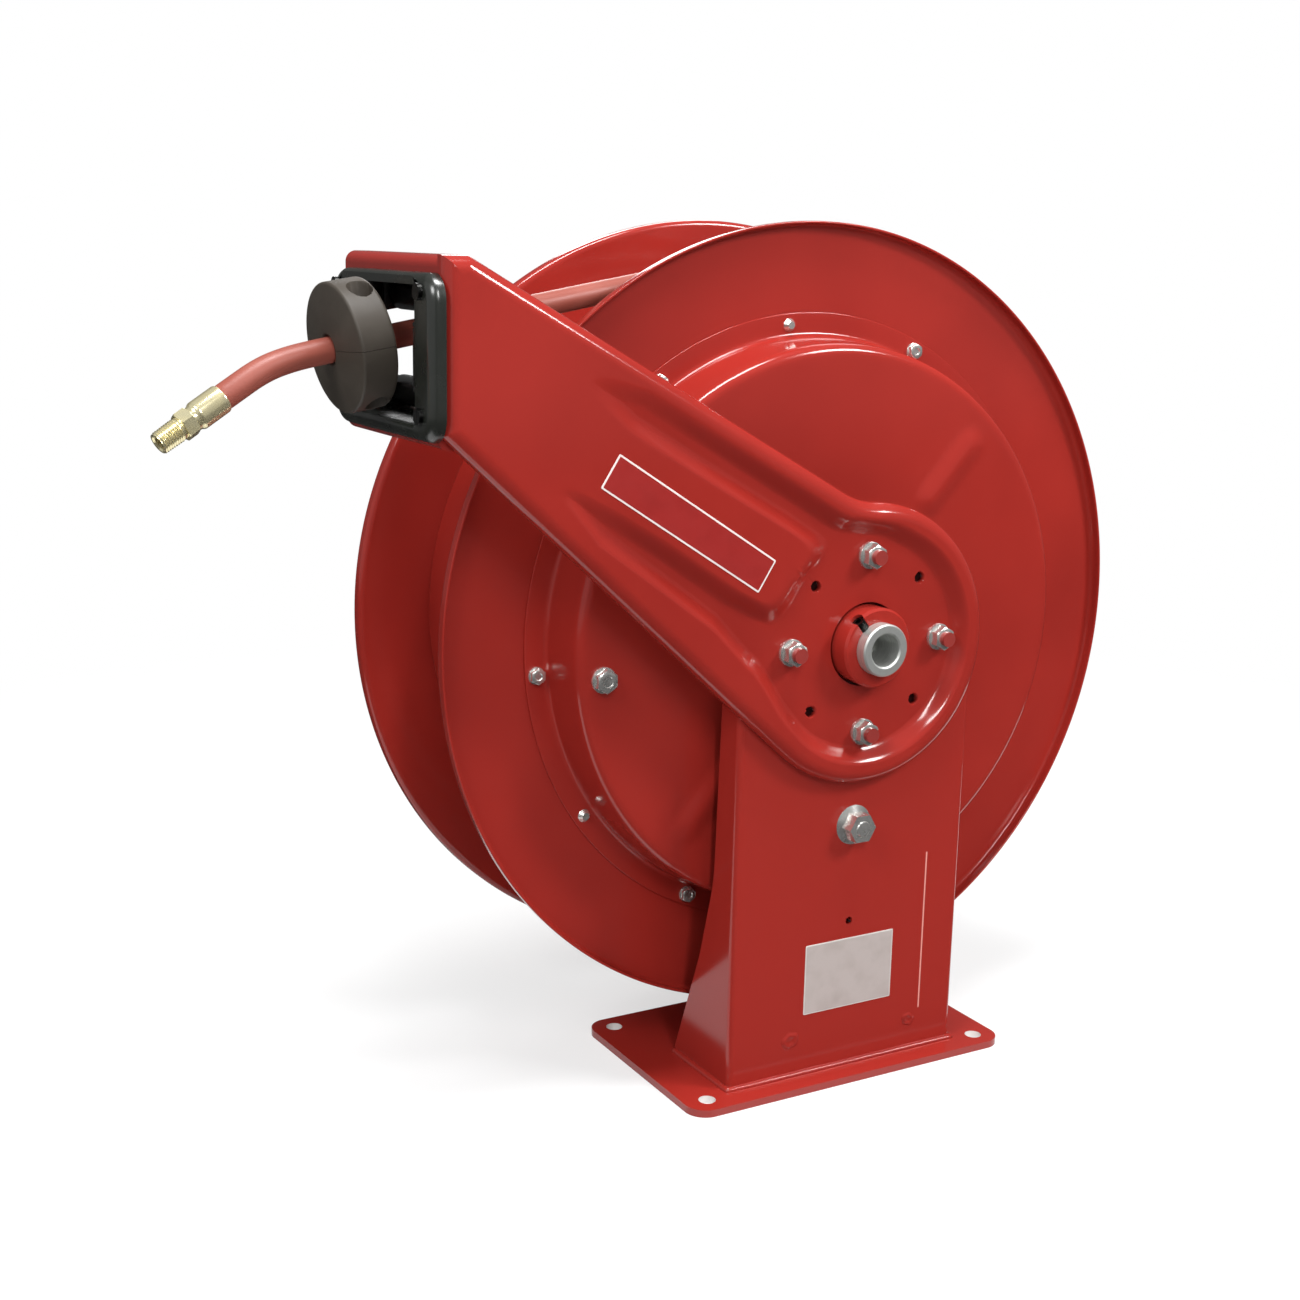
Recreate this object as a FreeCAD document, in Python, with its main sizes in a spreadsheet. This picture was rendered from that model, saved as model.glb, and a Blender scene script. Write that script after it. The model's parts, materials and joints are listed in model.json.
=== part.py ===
# Spring driven hose reel on a pedestal, with a guide arm, four rollers and a hose with its stop.
# Lengths are millimetres. X runs along the base, Y along the drum's axle to the rear, Z up.
# The origin is the centre of the base's four bolt holes, on the surface that the base stands on.

import FreeCAD, Part
import Sketcher
import math
import os

Vector = FreeCAD.Vector
doc = FreeCAD.newDocument("hose_reel")

# Driving sizes

DRIVING_SIZES = [
    ("base_length", 248, "base plate along X"),
    ("base_depth", 152, "base plate along Y"),
    ("base_plate", 5, "thickness of the base plate"),
    ("base_corner", 14, "corner radius of the base plate"),
    ("bolt_inset_x", 16, "floor bolts, distance from the base's ends"),
    ("bolt_inset_y", 14, "floor bolts, distance from the base's front and rear"),
    ("bolt_hole", 5.5, "radius of a floor bolt's hole"),
    ("shaft_height", 292.5, "shaft's axis above the floor"),
    ("post_front", -58, "front face of the post"),
    ("post_width", 180, "width of the post"),
    ("post_sheet", 4.5, "sheet of the post"),
    ("shoulder_drop", 30.5, "post's sides end this far below the shaft's axis"),
    ("post_crown", 84, "radius of the post's round top"),
    ("side_depth_top", 20.5, "depth of the post's side at its top"),
    ("side_depth_foot", 69, "depth of the post's side at the base"),
    ("gusset_sheet", 4, "sheet of the two ribs behind the post"),
    ("gusset_spread", 49, "ribs, distance from the middle"),
    ("gusset_drop", 104, "top of the ribs below the end of the post's sides"),
    ("hub_bore_gap", 0.05, "shaft in the hub, all round"),
    ("boss_radius", 25.4, "boss that holds the shaft"),
    ("boss_front", -75.5, "front face of the boss"),
    ("hub_flange", 68, "radius of the hub's flange"),
    ("hub_flange_sheet", 7, "thickness of the hub's flange"),
    ("collar_radius", 30, "hub's rear collar"),
    ("collar_length", 6.5, "length of the rear collar"),
    ("stud_circle", 57, "studs, distance from the shaft's axis"),
    ("stud_radius", 4.76, "studs of the hub"),
    ("stud_hole", 5.2, "stud's hole in post and arm"),
    ("shaft_radius", 16.7, "shaft"),
    ("shaft_front", -83.5, "front end of the shaft"),
    ("shaft_rear", 168, "rear end of the shaft"),
    ("inlet_radius", 10.5, "threaded inlet in the shaft's front end"),
    ("inlet_depth", 28, "depth of the threaded inlet"),
    ("passage_radius", 7.5, "water passage in the shaft"),
    ("set_screw", 4, "set screw in the boss"),
    ("arm_sheet", 4, "sheet of the guide arm"),
    ("arm_rise", 12, "height of the arm's pressing over the post"),
    ("arm_lobe", 90, "radius of the arm's round end"),
    ("arm_upper", 74.3, "arm's upper edge, distance from the shaft's axis"),
    ("arm_upper_slope", 29, "slope of the upper edge in degrees"),
    ("arm_lower_slope", 42.2, "slope of the lower edge in degrees"),
    ("arm_neck", 60, "hollow radius where the upper edge meets the round end"),
    ("arm_end", -289, "outer face of the arm's end flange"),
    ("arm_edge_radius", 6.5, "rounding of the arm's front edge"),
    ("arm_floor", 67, "radius of the arm's flat floor round the boss"),
    ("arm_floor_slope", 11, "how much wider the floor's pressing is at its top"),
    ("valley_depth", 4, "depth of the arm's two long grooves"),
    ("flange_rise", 236.5, "top of the end flange above the shaft's axis"),
    ("flange_tall", 104.5, "end flange along Z"),
    ("flange_rear", 80, "rear edge of the end flange"),
    ("flange_lip", 15, "depth of the end flange's two lips"),
    ("guide_y", 7.5, "middle of the roller frame along Y"),
    ("guide_drop", 52.5, "middle of the roller frame below the flange's top"),
    ("bezel_width", 136, "roller frame along Y"),
    ("bezel_tall", 86, "roller frame along Z"),
    ("bezel_thick", 9, "roller frame in front of the flange"),
    ("cage_width", 105, "inside of the roller cage along Y"),
    ("cage_tall", 76, "inside of the roller cage along Z"),
    ("cage_wall", 4, "wall of the roller cage"),
    ("cage_depth", 35, "roller cage behind the flange's outer face"),
    ("roller_radius", 9, "rollers"),
    ("roller_pin", 3, "pins of the rollers"),
    ("roller_play", 0.05, "roller on its pin, all round"),
    ("mouth_width", 66, "gap between the upright rollers"),
    ("mouth_tall", 38, "gap between the level rollers"),
    ("roller_plane", 5, "upright rollers' axis behind the flange's outer face"),
    ("roller_step", 22, "level rollers' axis behind the upright ones"),
    ("frame_screw", 2.4, "screws of the roller frame"),
    ("disc_radius", 260, "radius of both discs over the rolled edge"),
    ("disc_sheet", 1.6, "sheet of the discs, the core and the spring case"),
    ("disc_front", 13.5, "front face of the front disc"),
    ("disc_gap", 128.3, "between the two discs"),
    ("disc_eye", 45, "hole in the middle of the front disc"),
    ("curl_radius", 4.5, "outer radius of the rolled edge"),
    ("core_radius", 211, "drum core"),
    ("core_lip", 24, "width of the core's flanges"),
    ("case_inset", 8, "edge of the spring case's flange inside the core's outside"),
    ("case_lip", 15, "width of the spring case's flange"),
    ("case_draft", 3.5, "how much narrower the spring case is at its front"),
    ("case_front", -24.5, "front face of the spring case"),
    ("case_corner", 5, "corner radius of the spring case"),
    ("case_bolt_inset", 7.4, "bolts of the spring case, distance from the flange's edge"),
    ("case_bolt", 3, "hex bolts of the spring case"),
    ("case_screw", 2.4, "small screws of the spring case"),
    ("rib_inset", 26.5, "pressed rib's outer end from the case's front edge"),
    ("rib_length", 46, "pressed rib, centre to centre of its round ends"),
    ("rib_half", 11, "half the width of a pressed rib"),
    ("rib_rise", 3.8, "height of a pressed rib"),
    ("hub_shoulder", 48, "shoulder of the drum's front hub"),
    ("hub_sleeve", 27, "sleeve of both drum hubs"),
    ("bush_wall", 3.25, "wall of a bush"),
    ("bush_play", 0.05, "bush on the shaft, all round"),
    ("bush_flange", 25, "flange of a bush"),
    ("rear_flange", 60, "flange of the drum's rear hub"),
    ("rear_flange_sheet", 5, "thickness of the rear hub's flange"),
    ("rear_hub_out", 11, "drum's rear hub behind the rear disc"),
    ("rear_hub_in", 19, "drum's rear hub in front of the rear disc"),
    ("rear_bolt_circle", 46, "rear hub's bolts, distance from the axis"),
    ("rear_bolt", 3, "bolts of the rear hub"),
    ("washer", 2, "thickness of a thrust washer and of a bush's flange"),
    ("ratchet_radius", 83.5, "tips of the ratchet"),
    ("gap_depth", 8, "depth of the ratchet's two gaps"),
    ("gap_half", 17, "half the width of a gap in degrees"),
    ("notch_depth", 5, "depth of a holding notch"),
    ("notch_width", 15, "width of a holding notch at the rim"),
    ("ratchet_screw_circle", 38, "ratchet's screws, distance from the axis"),
    ("ratchet_screw", 3, "screws of the ratchet"),
    ("ratchet_front", -37.5, "front face of the ratchet"),
    ("ratchet_thick", 6, "thickness of the ratchet"),
    ("pawl_reach", 43.5, "pivot to the pawl's nose"),
    ("pawl_play", 1.5, "pawl's nose to the floor of a gap"),
    ("pawl_thick", 5, "thickness of the pawl"),
    ("pawl_tail", 27, "pivot to the pawl's spring hole"),
    ("pawl_lean", 34, "lean of the pawl to either side in degrees"),
    ("pivot_radius", 7, "pawl's pivot"),
    ("spring_drop", 66, "pawl spring's hole in the post below the pawl's pivot"),
    ("spring_wire", 0.8, "radius of the pawl spring's wire"),
    ("spring_coil", 4.2, "outside radius of the pawl spring"),
    ("arbor_radius", 24, "spring arbor on the shaft"),
    ("spring_width", 26, "power spring along Y"),
    ("spring_strip", 1.5, "thickness of the power spring's strip"),
    ("spring_turns", 7, "turns of the power spring"),
    ("anchor_inset", 16.5, "spring's anchor bolt from the case's front edge"),
    ("anchor_bolt", 5, "anchor bolt of the spring"),
    ("anchor_turn", 185, "place of the anchor bolt round the axis in degrees"),
    ("swivel_radius", 28, "swivel body"),
    ("swivel_front", 63, "front face of the swivel"),
    ("swivel_length", 36, "length of the swivel"),
    ("riser_radius", 7.5, "riser pipe in the drum"),
    ("riser_wall", 2, "wall of the riser pipe"),
    ("riser_seat", 3.9, "riser pipe in the swivel body"),
    ("hose_radius", 7.25, "outside radius of the hose"),
    ("wind_upper", 1.5, "loops in the hose's upper layer on the drum"),
    ("wind_pitch", 15.5, "hose on the drum, loop to loop"),
    ("wind_lift", 0.5, "play under each layer of hose"),
    ("wind_side", 0.65, "gap between the hose and the front disc"),
    ("free_rise", 6, "hose above the middle of the roller frame"),
    ("stop_radius", 39, "hose stop"),
    ("stop_thick", 21, "thickness of the hose stop"),
    ("stop_gap", 15.5, "hose stop's rear face before the flange's outer face"),
    ("stop_split", 0.6, "gap between the halves of the stop"),
    ("stop_screw", 3, "screws of the hose stop"),
    ("ferrule_radius", 7.95, "ferrule on the hose's end"),
    ("ferrule_length", 21, "length of the ferrule"),
    ("outlet_radius", 6.7, "threaded end of the hose"),
    ("outlet_length", 15, "length of the threaded end"),
]

sheet = doc.addObject("Spreadsheet::Sheet", "Sizes")
for row, (word, number, meaning) in enumerate(DRIVING_SIZES, start=1):
    sheet.set("A%d" % row, word)
    sheet.set("B%d" % row, str(number))
    sheet.set("C%d" % row, meaning)
    sheet.setAlias("B%d" % row, word)
doc.recompute()


class Size:
    """A number together with the sheet expression that gives it."""

    def __init__(self, value, text):
        self.value = float(value)
        self.text = text

    @staticmethod
    def of(thing):
        return thing if isinstance(thing, Size) else Size(thing, repr(float(thing)))

    def join(self, sign, other, value):
        return Size(value, "(%s %s %s)" % (self.text, sign, other.text))

    def __add__(self, other):
        other = Size.of(other)
        return self.join("+", other, self.value + other.value)

    def __radd__(self, other):
        return Size.of(other) + self

    def __sub__(self, other):
        other = Size.of(other)
        return self.join("-", other, self.value - other.value)

    def __rsub__(self, other):
        return Size.of(other) - self

    def __mul__(self, other):
        other = Size.of(other)
        return self.join("*", other, self.value * other.value)

    def __rmul__(self, other):
        return Size.of(other) * self

    def __truediv__(self, other):
        other = Size.of(other)
        return self.join("/", other, self.value / other.value)

    def __neg__(self):
        return 0 - self


def turned(radius, degrees):
    """Point at a distance from the axis, at an angle from +X towards +Z, as two sizes."""
    radius, degrees = Size.of(radius), Size.of(degrees)
    angle = math.radians(degrees.value)
    across = Size(radius.value * math.cos(angle), "%s * cos(%s)" % (radius.text, degrees.text))
    up = Size(radius.value * math.sin(angle), "%s * sin(%s)" % (radius.text, degrees.text))
    return across, up


class Sizes:
    """The sheet's cells as sizes: S.shaft_height, S.disc_radius and so on."""

    def __getattr__(self, word):
        return Size(sheet.get(word), "Sizes." + word)


S = Sizes()

# Helpers for the document's objects

PIECES = []


def bind(thing, path, size):
    """Ties a property to the sheet, or sets it when it is a plain number."""
    size = Size.of(size)
    thing.setExpression(path, size.text)


def piece(thing, label):
    """Names a finished piece and puts it on the list of pieces to be written."""
    thing.Label = label
    PIECES.append(thing)
    return thing


def place(thing, spot, turn=None):
    """Puts an object at a spot of three sizes, after an optional rotation."""
    if turn is not None:
        thing.Placement = FreeCAD.Placement(Vector(), turn)
    for axis, size in zip("xyz", spot):
        bind(thing, "Placement.Base." + axis, size)
    return thing


TO_Y = FreeCAD.Rotation(Vector(0, 0, 1), Vector(0, 1, 0))
TO_FRONT = FreeCAD.Rotation(Vector(0, 0, 1), Vector(0, -1, 0))
TO_X = FreeCAD.Rotation(Vector(0, 0, 1), Vector(1, 0, 0))


def cylinder(name, radius, length, spot, turn=None):
    """Part cylinder that starts at a spot and runs along its turned Z axis."""
    made = doc.addObject("Part::Cylinder", name)
    bind(made, "Radius", radius)
    bind(made, "Height", length)
    return place(made, spot, turn)


def cone(name, first, second, length, spot, turn=None):
    made = doc.addObject("Part::Cone", name)
    bind(made, "Radius1", first)
    bind(made, "Radius2", second)
    bind(made, "Height", length)
    return place(made, spot, turn)


def prism(name, across_flats, length, spot, turn=None):
    """Hexagonal prism with a given distance across its flats."""
    made = doc.addObject("Part::Prism", name)
    made.Polygon = 6
    bind(made, "Circumradius", Size.of(across_flats) / math.sqrt(3))
    bind(made, "Height", length)
    return place(made, spot, turn)


def box(name, low, high):
    """Box between two corners of three sizes each."""
    made = doc.addObject("Part::Box", name)
    for path, a, b in zip(("Length", "Width", "Height"), low, high):
        bind(made, path, Size.of(b) - a)
    return place(made, low)


def cut(name, base, *tools):
    made = doc.addObject("Part::Cut", name)
    made.Base = base
    made.Tool = tools[0] if len(tools) == 1 else fuse(name + "_tools", *tools)
    return made


def fuse(name, *shapes):
    made = doc.addObject("Part::MultiFuse", name)
    made.Shapes = list(shapes)
    made.Refine = True
    return made


def group(name, members):
    """Separate solids of one node, such as identical fasteners."""
    made = doc.addObject("Part::Compound", name)
    made.Links = list(members)
    return made


def body(name, spot=None):
    made = doc.addObject("PartDesign::Body", name)
    if spot is not None:
        place(made, spot)
    return made


def sketch_on(owner, role, name, offset=None):
    """Sketch on one of the body's own origin planes, moved along its normal if asked."""
    made = owner.newObject("Sketcher::SketchObject", name)
    plane = [f for f in owner.Origin.OriginFeatures if f.Role == role][0]
    made.AttachmentSupport = [(plane, "")]
    made.MapMode = "FlatFace"
    if offset is not None:
        bind(made, "AttachmentOffset.Base.z", offset)
    return made


def pin_one(sketch, edge, end, across, size):
    """Ties one coordinate of a point of an edge to the sheet."""
    size = Size.of(size)
    kind, axis = ("DistanceX", -2) if across else ("DistanceY", -1)
    if abs(size.value) < 1e-9:
        sketch.addConstraint(Sketcher.Constraint("PointOnObject", edge, end, axis))
    else:
        made = sketch.addConstraint(Sketcher.Constraint(kind, -1, 1, edge, end, size.value))
        sketch.setExpression("Constraints[%d]" % made, size.text)


def pin_point(sketch, edge, end, across, up):
    """Ties one point of an edge to a place that the sheet gives."""
    pin_one(sketch, edge, end, True, across)
    pin_one(sketch, edge, end, False, up)


def flat(size_pair):
    return Vector(Size.of(size_pair[0]).value, Size.of(size_pair[1]).value, 0)


def outline(sketch, corners):
    """Closed outline. A corner is (across, up); with a third entry (middle, centre)
    the edge that leaves the corner is an arc through that middle, about that centre."""
    count = len(corners)
    first = sketch.GeometryCount
    for i, corner in enumerate(corners):
        start, end = flat(corner[:2]), flat(corners[(i + 1) % count][:2])
        if len(corner) == 2:
            sketch.addGeometry(Part.LineSegment(start, end), False)
        else:
            middle = flat(corner[2][0])
            sketch.addGeometry(Part.Arc(start, middle, end), False)
    for i, corner in enumerate(corners):
        here, after = first + i, first + (i + 1) % count
        head, tail = ends_of(sketch, here, flat(corner[:2]))
        following = ends_of(sketch, after, flat(corners[(i + 1) % count][:2]))[0]
        sketch.addConstraint(Sketcher.Constraint("Coincident", here, tail, after, following))
        pin_point(sketch, here, head, *corner[:2])
        if len(corner) == 3:
            chord = flat(corners[(i + 1) % count][:2]) - flat(corner[:2])
            upright = abs(chord.y) > abs(chord.x)
            pin_one(sketch, here, 3, upright, corner[2][1][0 if upright else 1])


def ends_of(sketch, edge, start):
    """Which end of an edge lies at the start point, and which is the other one."""
    if sketch.getPoint(edge, 1).distanceToPoint(start) < 1e-6:
        return 1, 2
    return 2, 1


def circle(sketch, across, up, radius):
    radius = Size.of(radius)
    spot = flat((across, up))
    edge = sketch.addGeometry(Part.Circle(spot, Vector(0, 0, 1), radius.value), False)
    made = sketch.addConstraint(Sketcher.Constraint("Radius", edge, radius.value))
    sketch.setExpression("Constraints[%d]" % made, radius.text)
    pin_point(sketch, edge, 3, across, up)


def rectangle(sketch, low, high):
    outline(sketch, [(low[0], low[1]), (high[0], low[1]), (high[0], high[1]), (low[0], high[1])])


def pad(owner, sketch, length, name, away=False, middle=False):
    made = owner.newObject("PartDesign::Pad", name)
    made.Profile = sketch
    bind(made, "Length", length)
    made.Reversed = away
    made.Midplane = middle
    owner.Tip = made
    return made


def pocket(owner, sketch, name, length=None, away=False):
    """Pocket through everything, or to a given depth."""
    made = owner.newObject("PartDesign::Pocket", name)
    made.Profile = sketch
    if length is None:
        made.Type = "ThroughAll"
        made.Midplane = True
    else:
        bind(made, "Length", length)
        made.Reversed = away
    owner.Tip = made
    return made


def revolve(owner, sketch, name):
    made = owner.newObject("PartDesign::Revolution", name)
    made.Profile = sketch
    made.ReferenceAxis = (sketch, ["H_Axis"])
    made.Angle = 360
    owner.Tip = made
    return made


def polar(owner, feature, count, name):
    """Copies of a feature round the drum's axis."""
    made = owner.newObject("PartDesign::PolarPattern", name)
    made.Originals = [feature]
    made.Axis = ([f for f in owner.Origin.OriginFeatures if f.Role == "Y_Axis"][0], [""])
    made.Angle = 360
    bind(made, "Occurrences", count)
    owner.Tip = made
    return made


def round_edges(owner, name, radius, wanted):
    """Fillet on the edges of the tip for which wanted(edge) is true."""
    doc.recompute()
    tip = owner.Tip
    names = ["Edge%d" % (i + 1) for i, edge in enumerate(tip.Shape.Edges) if wanted(edge)]
    made = owner.newObject("PartDesign::Fillet", name)
    made.Base = (tip, names)
    bind(made, "Radius", radius)
    owner.Tip = made
    return made


AXLE = (0, 0, S.shaft_height)


def turned_body(label, corners):
    """Round piece on the drum's axle: corners are (place along Y, radius)."""
    made = body(label, AXLE)
    profile = sketch_on(made, "YZ_Plane", label + "_profile")
    outline(profile, corners)
    revolve(made, profile, label + "_turn")
    return made


def tube_corners(front, rear, inner, outer):
    return [(front, inner), (front, outer), (rear, outer), (rear, inner)]


def on_axle(radius, degrees, along):
    """Spot at a radius and an angle round the axle, at a place along Y."""
    across, up = turned(radius, degrees)
    return (across, along, S.shaft_height + up)


# Places along the axle that several pieces share

POST_REAR = S.post_front + S.post_sheet
HUB_REAR = POST_REAR + S.hub_flange_sheet
COLLAR_REAR = HUB_REAR + S.collar_length
FLOOR_FRONT = S.post_front - S.arm_sheet
ARM_FRONT = S.post_front - S.arm_rise
CORE_FRONT = S.disc_front + S.disc_sheet
CORE_REAR = CORE_FRONT + S.disc_gap
DISC_REAR = CORE_REAR + S.disc_sheet
BUSH_OUTER = S.shaft_radius + S.bush_play + S.bush_wall
GROOVE_FRONT = DISC_REAR + S.rear_hub_out + 2 * S.washer + 0.2
GROOVE_REAR = GROOVE_FRONT + S.washer * 1.05
GROOVE_FLOOR = S.shaft_radius - 1.6
HUB_FRONT = COLLAR_REAR + S.washer
RATCHET_REAR = S.ratchet_front + S.ratchet_thick

# Places that follow the shaft's height, the core and the base

POST_SHOULDER = S.shaft_height - S.shoulder_drop
GUSSET_TOP = POST_SHOULDER - S.gusset_drop
FLANGE_TOP = S.shaft_height + S.flange_rise
FLANGE_BOTTOM = FLANGE_TOP - S.flange_tall
GUIDE_Z = FLANGE_TOP - S.guide_drop
FREE_LEVEL = GUIDE_Z + S.free_rise
PAWL_HEIGHT = S.shaft_height - S.ratchet_radius + S.gap_depth - S.pawl_reach - S.pawl_play
SPRING_ANCHOR = PAWL_HEIGHT - S.spring_drop
BOLT_X = S.base_length / 2 - S.bolt_inset_x
BOLT_Y = S.base_depth / 2 - S.bolt_inset_y
CORE_FLANGE = S.core_radius - S.core_lip
CASE_FLANGE = S.core_radius - S.case_inset
CASE_FOOT = CASE_FLANGE - S.case_lip
CASE_TOP = CASE_FOOT - S.case_draft
CASE_BOLT_CIRCLE = CASE_FLANGE - S.case_bolt_inset
RIB_OUTER = CASE_TOP - S.rib_inset
RIB_INNER = RIB_OUTER - S.rib_length
ANCHOR_CIRCLE = CASE_TOP - S.anchor_inset


# Pedestal

def base_plate():
    made = body("base_plate")
    plan = sketch_on(made, "XY_Plane", "base_plan")
    half_x, half_y = S.base_length / 2, S.base_depth / 2
    rectangle(plan, (-half_x, -half_y), (half_x, half_y))
    pad(made, plan, S.base_plate, "base_pad")
    upright = lambda edge: abs(edge.Vertexes[0].Z - edge.Vertexes[-1].Z) > 1
    round_edges(made, "base_corners", S.base_corner, upright)
    holes = sketch_on(made, "XY_Plane", "base_holes")
    for side in (-1, 1):
        for end in (-1, 1):
            circle(holes, side * BOLT_X, end * BOLT_Y, S.bolt_hole)
    pocket(made, holes, "base_bores")
    piece(made, "base_plate")


FLARE_SHARE = 0.428
FLARE_KNEE = (0.57, 0.307)
FLARE_END = (4, 0.525)


def post():
    """Bent channel: a front wall with a round top, and two sides that flare to the base."""
    made = body("post")
    wall = sketch_on(made, "XZ_Plane", "post_wall", -S.post_front)
    half, top = S.post_width / 2, S.shaft_height
    crown = ((0, top + S.post_crown), (0, top))
    outline(wall, [
        (-half, S.base_plate), (half, S.base_plate), (half, POST_SHOULDER),
        (S.post_crown, top, crown), (-S.post_crown, top), (-half, POST_SHOULDER)])
    pad(made, wall, S.post_sheet, "post_front_wall", away=True)
    side = sketch_on(made, "YZ_Plane", "post_side", half - S.post_sheet)
    front, depth = S.post_front, S.side_depth_top
    foot = S.side_depth_foot
    rise = POST_SHOULDER - S.base_plate
    outline(side, [
        (front, S.base_plate), (front + foot, S.base_plate),
        (front + foot * FLARE_KNEE[0], S.base_plate + rise * FLARE_KNEE[1]),
        (front + depth + FLARE_END[0], S.base_plate + rise * FLARE_END[1]),
        (front + depth, POST_SHOULDER), (front, POST_SHOULDER)])
    pad(made, side, S.post_sheet, "post_right_side")
    flare = lambda edge: (
        abs(edge.Vertexes[0].X - edge.Vertexes[-1].X) > 1
        and edge.Vertexes[0].Y > S.post_front.value + S.post_sheet.value + 1
        and S.base_plate.value + 1 < edge.Vertexes[0].Z < POST_SHOULDER.value - 1)
    soft = round_edges(made, "post_flare", rise * FLARE_SHARE, flare)
    mirror = made.newObject("PartDesign::Mirrored", "post_left_side")
    mirror.Originals = [made.getObject("post_right_side"), soft]
    mirror.MirrorPlane = ([f for f in made.Origin.OriginFeatures if f.Role == "YZ_Plane"][0], [""])
    made.Tip = mirror
    bend = lambda edge: (
        abs(edge.Vertexes[0].Y - front.value) < 1e-3
        and abs(edge.Vertexes[-1].Y - front.value) < 1e-3
        and abs(edge.Vertexes[0].X - edge.Vertexes[-1].X) < 1e-3
        and edge.Length > half.value)
    round_edges(made, "post_bends", S.post_sheet * 0.9, bend)
    holes = sketch_on(made, "XZ_Plane", "post_holes", -S.post_front)
    circle(holes, 0, S.shaft_height, S.boss_radius + 1.6)
    for turn in (0, 90, 180, 270):
        across, up = turned(S.stud_circle, turn)
        circle(holes, across, S.shaft_height + up, S.stud_hole)
    circle(holes, 0, PAWL_HEIGHT, S.pivot_radius - 1.4)
    circle(holes, 0, SPRING_ANCHOR, 2.6)
    pocket(made, holes, "post_bores", S.post_sheet + 1)
    piece(made, "post")


def post_ribs():
    """Two ribs welded between the post's rear and the base."""
    halves = []
    for side, name in ((-1, "left"), (1, "right")):
        rib = body("rib_" + name)
        plan = sketch_on(rib, "YZ_Plane", "rib_plan_" + name, side * S.gusset_spread - S.gusset_sheet / 2)
        foot = S.side_depth_foot - S.post_sheet - 6
        outline(plan, [
            (POST_REAR, S.base_plate), (POST_REAR + foot, S.base_plate),
            (POST_REAR + foot, S.base_plate + 8), (POST_REAR + 9, GUSSET_TOP),
            (POST_REAR, GUSSET_TOP)])
        pad(rib, plan, S.gusset_sheet, "rib_pad_" + name)
        halves.append(rib)
    piece(group("post_ribs_group", halves), "post_ribs")


def shaft_hub():
    """Turned hub: a boss through post and arm, a flange behind the post and a rear collar."""
    bore = S.shaft_radius + S.hub_bore_gap
    made = turned_body("shaft_hub_turned", [
        (S.boss_front, bore), (S.boss_front, S.boss_radius - 1.5),
        (S.boss_front + 1.5, S.boss_radius), (POST_REAR, S.boss_radius),
        (POST_REAR, S.hub_flange), (HUB_REAR, S.hub_flange),
        (HUB_REAR, S.collar_radius), (COLLAR_REAR, S.collar_radius), (COLLAR_REAR, bore)])
    holes = sketch_on(made, "XZ_Plane", "hub_holes")
    for turn in (0, 90, 180, 270):
        circle(holes, *turned(S.stud_circle, turn), S.stud_radius + 0.04)
    pocket(made, holes, "hub_bores")
    piece(cut("shaft_hub_drilled", made, set_screw_hole("hub_drill", S.set_screw + 0.05)), "shaft_hub")


SET_SCREW_TURN = 129


def set_screw_hole(name, radius):
    """Radial cylinder in the boss, from the shaft outwards."""
    along = (S.boss_front + ARM_FRONT) / 2
    start = S.shaft_radius + 0.1
    made = cylinder(name, radius, S.boss_radius - start + 2, on_axle(start, SET_SCREW_TURN, along))
    angle = math.radians(SET_SCREW_TURN)
    made.Placement = FreeCAD.Placement(
        made.Placement.Base, FreeCAD.Rotation(Vector(0, 0, 1), Vector(math.cos(angle), 0, math.sin(angle))))
    return made


def shaft_screw():
    """Short set screw, sunk in the boss, with a hexagonal socket."""
    angle = math.radians(SET_SCREW_TURN)
    turn = FreeCAD.Rotation(Vector(0, 0, 1), Vector(math.cos(angle), 0, math.sin(angle)))
    along = (S.boss_front + ARM_FRONT) / 2
    start = S.shaft_radius + 0.1
    length = S.boss_radius - start - 2.2
    plug = cylinder("shaft_screw_plug", S.set_screw, length, on_axle(start, SET_SCREW_TURN, along), turn)
    socket = prism("shaft_screw_socket", S.set_screw, 4,
                   on_axle(start + length - 2.5, SET_SCREW_TURN, along), turn)
    piece(cut("shaft_screw_cut", plug, socket), "shaft_screw")


def main_shaft():
    """Fixed hollow shaft: threaded inlet in front, passage to a cross hole, groove at the rear."""
    made = turned_body("main_shaft", [
        (S.shaft_front, S.inlet_radius + 1), (S.shaft_front, S.shaft_radius - 1),
        (S.shaft_front + 1, S.shaft_radius), (GROOVE_FRONT, S.shaft_radius),
        (GROOVE_FRONT, GROOVE_FLOOR), (GROOVE_REAR, GROOVE_FLOOR),
        (GROOVE_REAR, S.shaft_radius), (S.shaft_rear - 1.5, S.shaft_radius),
        (S.shaft_rear, S.shaft_radius - 1.5), (S.shaft_rear, 0),
        (S.swivel_front + S.swivel_length * 0.75, 0),
        (S.swivel_front + S.swivel_length * 0.7, S.passage_radius),
        (S.shaft_front + S.inlet_depth, S.passage_radius),
        (S.shaft_front + S.inlet_depth, S.inlet_radius),
        (S.shaft_front + 1, S.inlet_radius)])
    cross = sketch_on(made, "XY_Plane", "cross_hole")
    circle(cross, 0, S.swivel_front + S.swivel_length / 2, S.passage_radius * 0.66)
    pocket(made, cross, "cross_bore")
    piece(made, "main_shaft")


# Fasteners of the pedestal

def hub_studs():
    made = []
    for turn in (0, 90, 180, 270):
        spot = on_axle(S.stud_circle, turn, FLOOR_FRONT - 12.5)
        made.append(cylinder("stud_%d" % turn, S.stud_radius, HUB_REAR - FLOOR_FRONT + 12.5, spot, TO_Y))
    piece(group("hub_studs_group", made), "hub_studs")


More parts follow.
